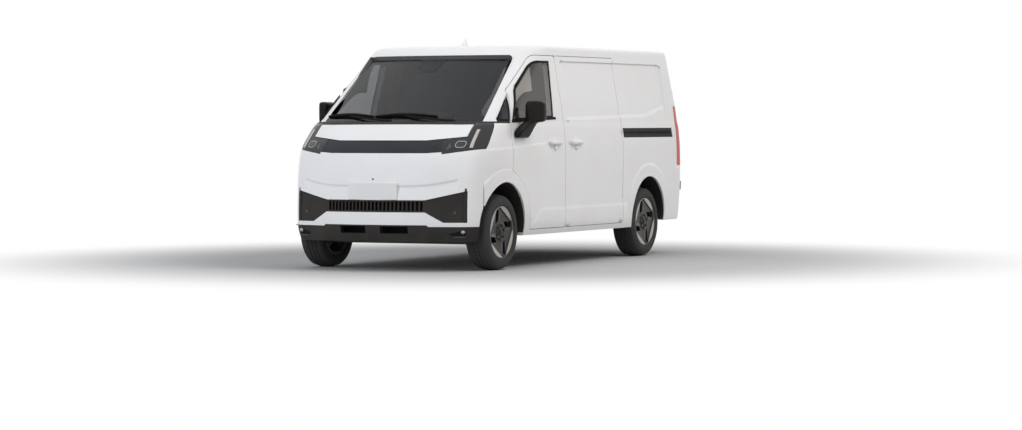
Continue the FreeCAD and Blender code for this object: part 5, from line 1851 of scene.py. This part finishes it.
@dataclass
class Tail:
    """Rear step, plate blank, latch and the doors' hinges."""

    plate: tuple[Point2, Point2] = ((0.10, 0.80), (0.62, 0.92))
    grip: tuple[Point2, Point2] = ((0.05, 1.035), (0.075, 1.155))
    latch: tuple[Point2, Point2] = ((0.035, 1.00), (0.09, 1.19))
    door_spot: Point2 = (0.3, 1.05)
    hinge: Point2 = (-2.308, 0.7975)
    hinge_rows: tuple[float, float] = (0.90, 1.25)
    hinge_length: float = 0.07
    hinge_radius: float = 0.009

    def build(self) -> None:
        """Dress the tail."""
        smooth_copy("rear_step", TRIM)
        x = Surface("tail_door_left", "tail_door_right").at(Way.BACK, *self.door_spot).x
        grip, latch, plate = (
            rounded_box((x - proud, *low), (x + 0.01, *high), radius)
            for (low, high), proud, radius in (
                (self.grip, 0.016, 0.006), (self.latch, 0.004, 0.005), (self.plate, 0.006, 0.004)))
        piece("tail_latch", joined([grip, latch]), TRIM, "tail_door_left")
        piece("plate_blank_rear", plate, PLATE, "tail_door_left")
        knuckle = bmesh.new()
        bmesh.ops.create_cone(knuckle, cap_ends=True, segments=20, radius1=self.hinge_radius,
                              radius2=self.hinge_radius, depth=self.hinge_length)
        low, high = self.hinge_rows
        bmesh.ops.translate(knuckle, vec=(*self.hinge, low + self.hinge_length / 2), verts=knuckle.verts)
        pair("tail_hinges", repeated(knuckle, 2, (0, 0, 0), (0, 0, high - low), PAINT), PAINT)


# Studio

@dataclass
class Studio:
    """Pale floor, soft lamps and the camera at the photograph's angle."""

    eye: Point3 = (25.302, 12.657, 1.282)
    yaw: float = 206.24
    pitch: float = -1.74
    roll: float = -0.13
    lens: float = 106.28
    ambient: float = 0.41
    floor_grey: float = 0.52
    floor_fade: Point2 = (2.4, 5.6)

    def camera(self) -> None:
        """Place the camera."""
        data = bpy.data.cameras.new("camera")
        data.lens, data.sensor_width = self.lens, 36.0
        data.clip_start, data.clip_end = 0.5, 300.0
        made = bpy.data.objects.new("camera", data)
        bpy.context.scene.collection.objects.link(made)
        yaw, pitch, roll = (math.radians(turn) for turn in (self.yaw, self.pitch, self.roll))
        look = Vector((math.cos(pitch) * math.cos(yaw), math.cos(pitch) * math.sin(yaw), math.sin(pitch)))
        right = look.cross(Vector((0, 0, 1))).normalized()
        up = right.cross(look)
        axes = Matrix((right, up, -look)).transposed() @ Matrix.Rotation(roll, 3, "Z")
        made.matrix_world = Matrix.Translation(self.eye) @ axes.to_4x4()
        bpy.context.scene.camera = made

    def lamp(self, name: str, spot: Point3, aim: Point3, size: float, power: float, colour: Point3) -> None:
        """Hang one soft lamp.

        Args:
            name: its name.
            spot: where it hangs.
            aim: the point it faces.
            size: its width.
            power: its power in watts.
            colour: its tint.
        """
        data = bpy.data.lights.new(name, "AREA")
        data.shape, data.size, data.energy, data.color = "DISK", size, power, colour
        made = bpy.data.objects.new(name, data)
        bpy.context.scene.collection.objects.link(made)
        made.visible_glossy = False
        made.location = spot
        made.rotation_mode = "QUATERNION"
        made.rotation_quaternion = (Vector(aim) - Vector(spot)).to_track_quat("-Z", "Y")

    def world(self) -> None:
        """Soft light all round, seen as white."""
        made = bpy.data.worlds.new("studio")
        bpy.context.scene.world = made
        made.use_nodes = True
        graph = Graph(made.node_tree)
        back = made.node_tree.nodes["Background"]
        back.inputs["Color"].default_value = (1, 1, 1, 1)
        path = graph.node("ShaderNodeLightPath")
        seen = graph.math("MAXIMUM", path.outputs["Is Camera Ray"], graph.math(
            "MAXIMUM", path.outputs["Is Glossy Ray"], path.outputs["Is Transmission Ray"]))
        level = graph.math("ADD", self.ambient, graph.math("MULTIPLY", seen, 1.0 - self.ambient))
        graph.link(level, back.inputs["Strength"])

    def floor(self) -> None:
        """A pale floor that keeps the shadow and fades to white."""
        mesh = bmesh.new()
        bmesh.ops.create_grid(mesh, x_segments=2, y_segments=2, size=60.0)
        made = hosted("floor_sheet", mesh)
        made.location.z = -0.001
        finish = bpy.data.materials.new("floor_sheet")
        finish.use_nodes = True
        graph = Graph(finish.node_tree)
        shader = finish.node_tree.nodes["Principled BSDF"]
        shader.inputs["Base Color"].default_value = (*[self.floor_grey] * 3, 1)
        shader.inputs["Roughness"].default_value = 0.9
        shader.inputs["Specular IOR Level"].default_value = 0.1
        white = graph.node("ShaderNodeEmission")
        spot = graph.node("ShaderNodeTexCoord").outputs["Object"]
        away = graph.node("ShaderNodeVectorMath", {0: spot}, operation="LENGTH").outputs["Value"]
        fade = graph.ramp(away, *self.floor_fade)
        path = graph.node("ShaderNodeLightPath")
        keep = graph.math("MULTIPLY", fade, graph.math(
            "MAXIMUM", path.outputs["Is Camera Ray"], path.outputs["Is Glossy Ray"]))
        mix = graph.node("ShaderNodeMixShader", {0: keep, 1: shader.outputs[0], 2: white.outputs[0]})
        end = finish.node_tree.nodes["Material Output"]
        graph.link(mix.outputs[0], end.inputs["Surface"])
        made.data.materials.append(finish)

    def build(self) -> None:
        """Set the studio up."""
        bpy.context.scene.view_settings.view_transform = "Standard"
        self.world()
        self.floor()
        self.lamp("key", (9.5, -2.0, 3.6), (1.0, 0, 0.8), 7.0, 325, (0.90, 0.94, 1.0))
        self.lamp("top", (0, 0, 8), (0, 0, 1), 8.0, 105, (0.80, 0.88, 1.0))
        self.lamp("side", (1, 7.4, 8.4), (0, 0, 1.4), 7.0, 490, (1.0, 0.95, 0.91))
        self.camera()


def main() -> None:
    """Build every sub-assembly in order."""
    logging.basicConfig(level=logging.INFO, format="%(message)s")
    for part in (Studio(), Bodywork(), Lamps(), FrontTrim(), Glazing(), SideTrim()):
        part.build()
    for axle in ("front", "rear"):
        for hand in HANDS:
            Wheel(axle, hand).build()
    for part in (Cab(), Underside(), Tail()):
        part.build()


if __name__ == "__main__":
    main()
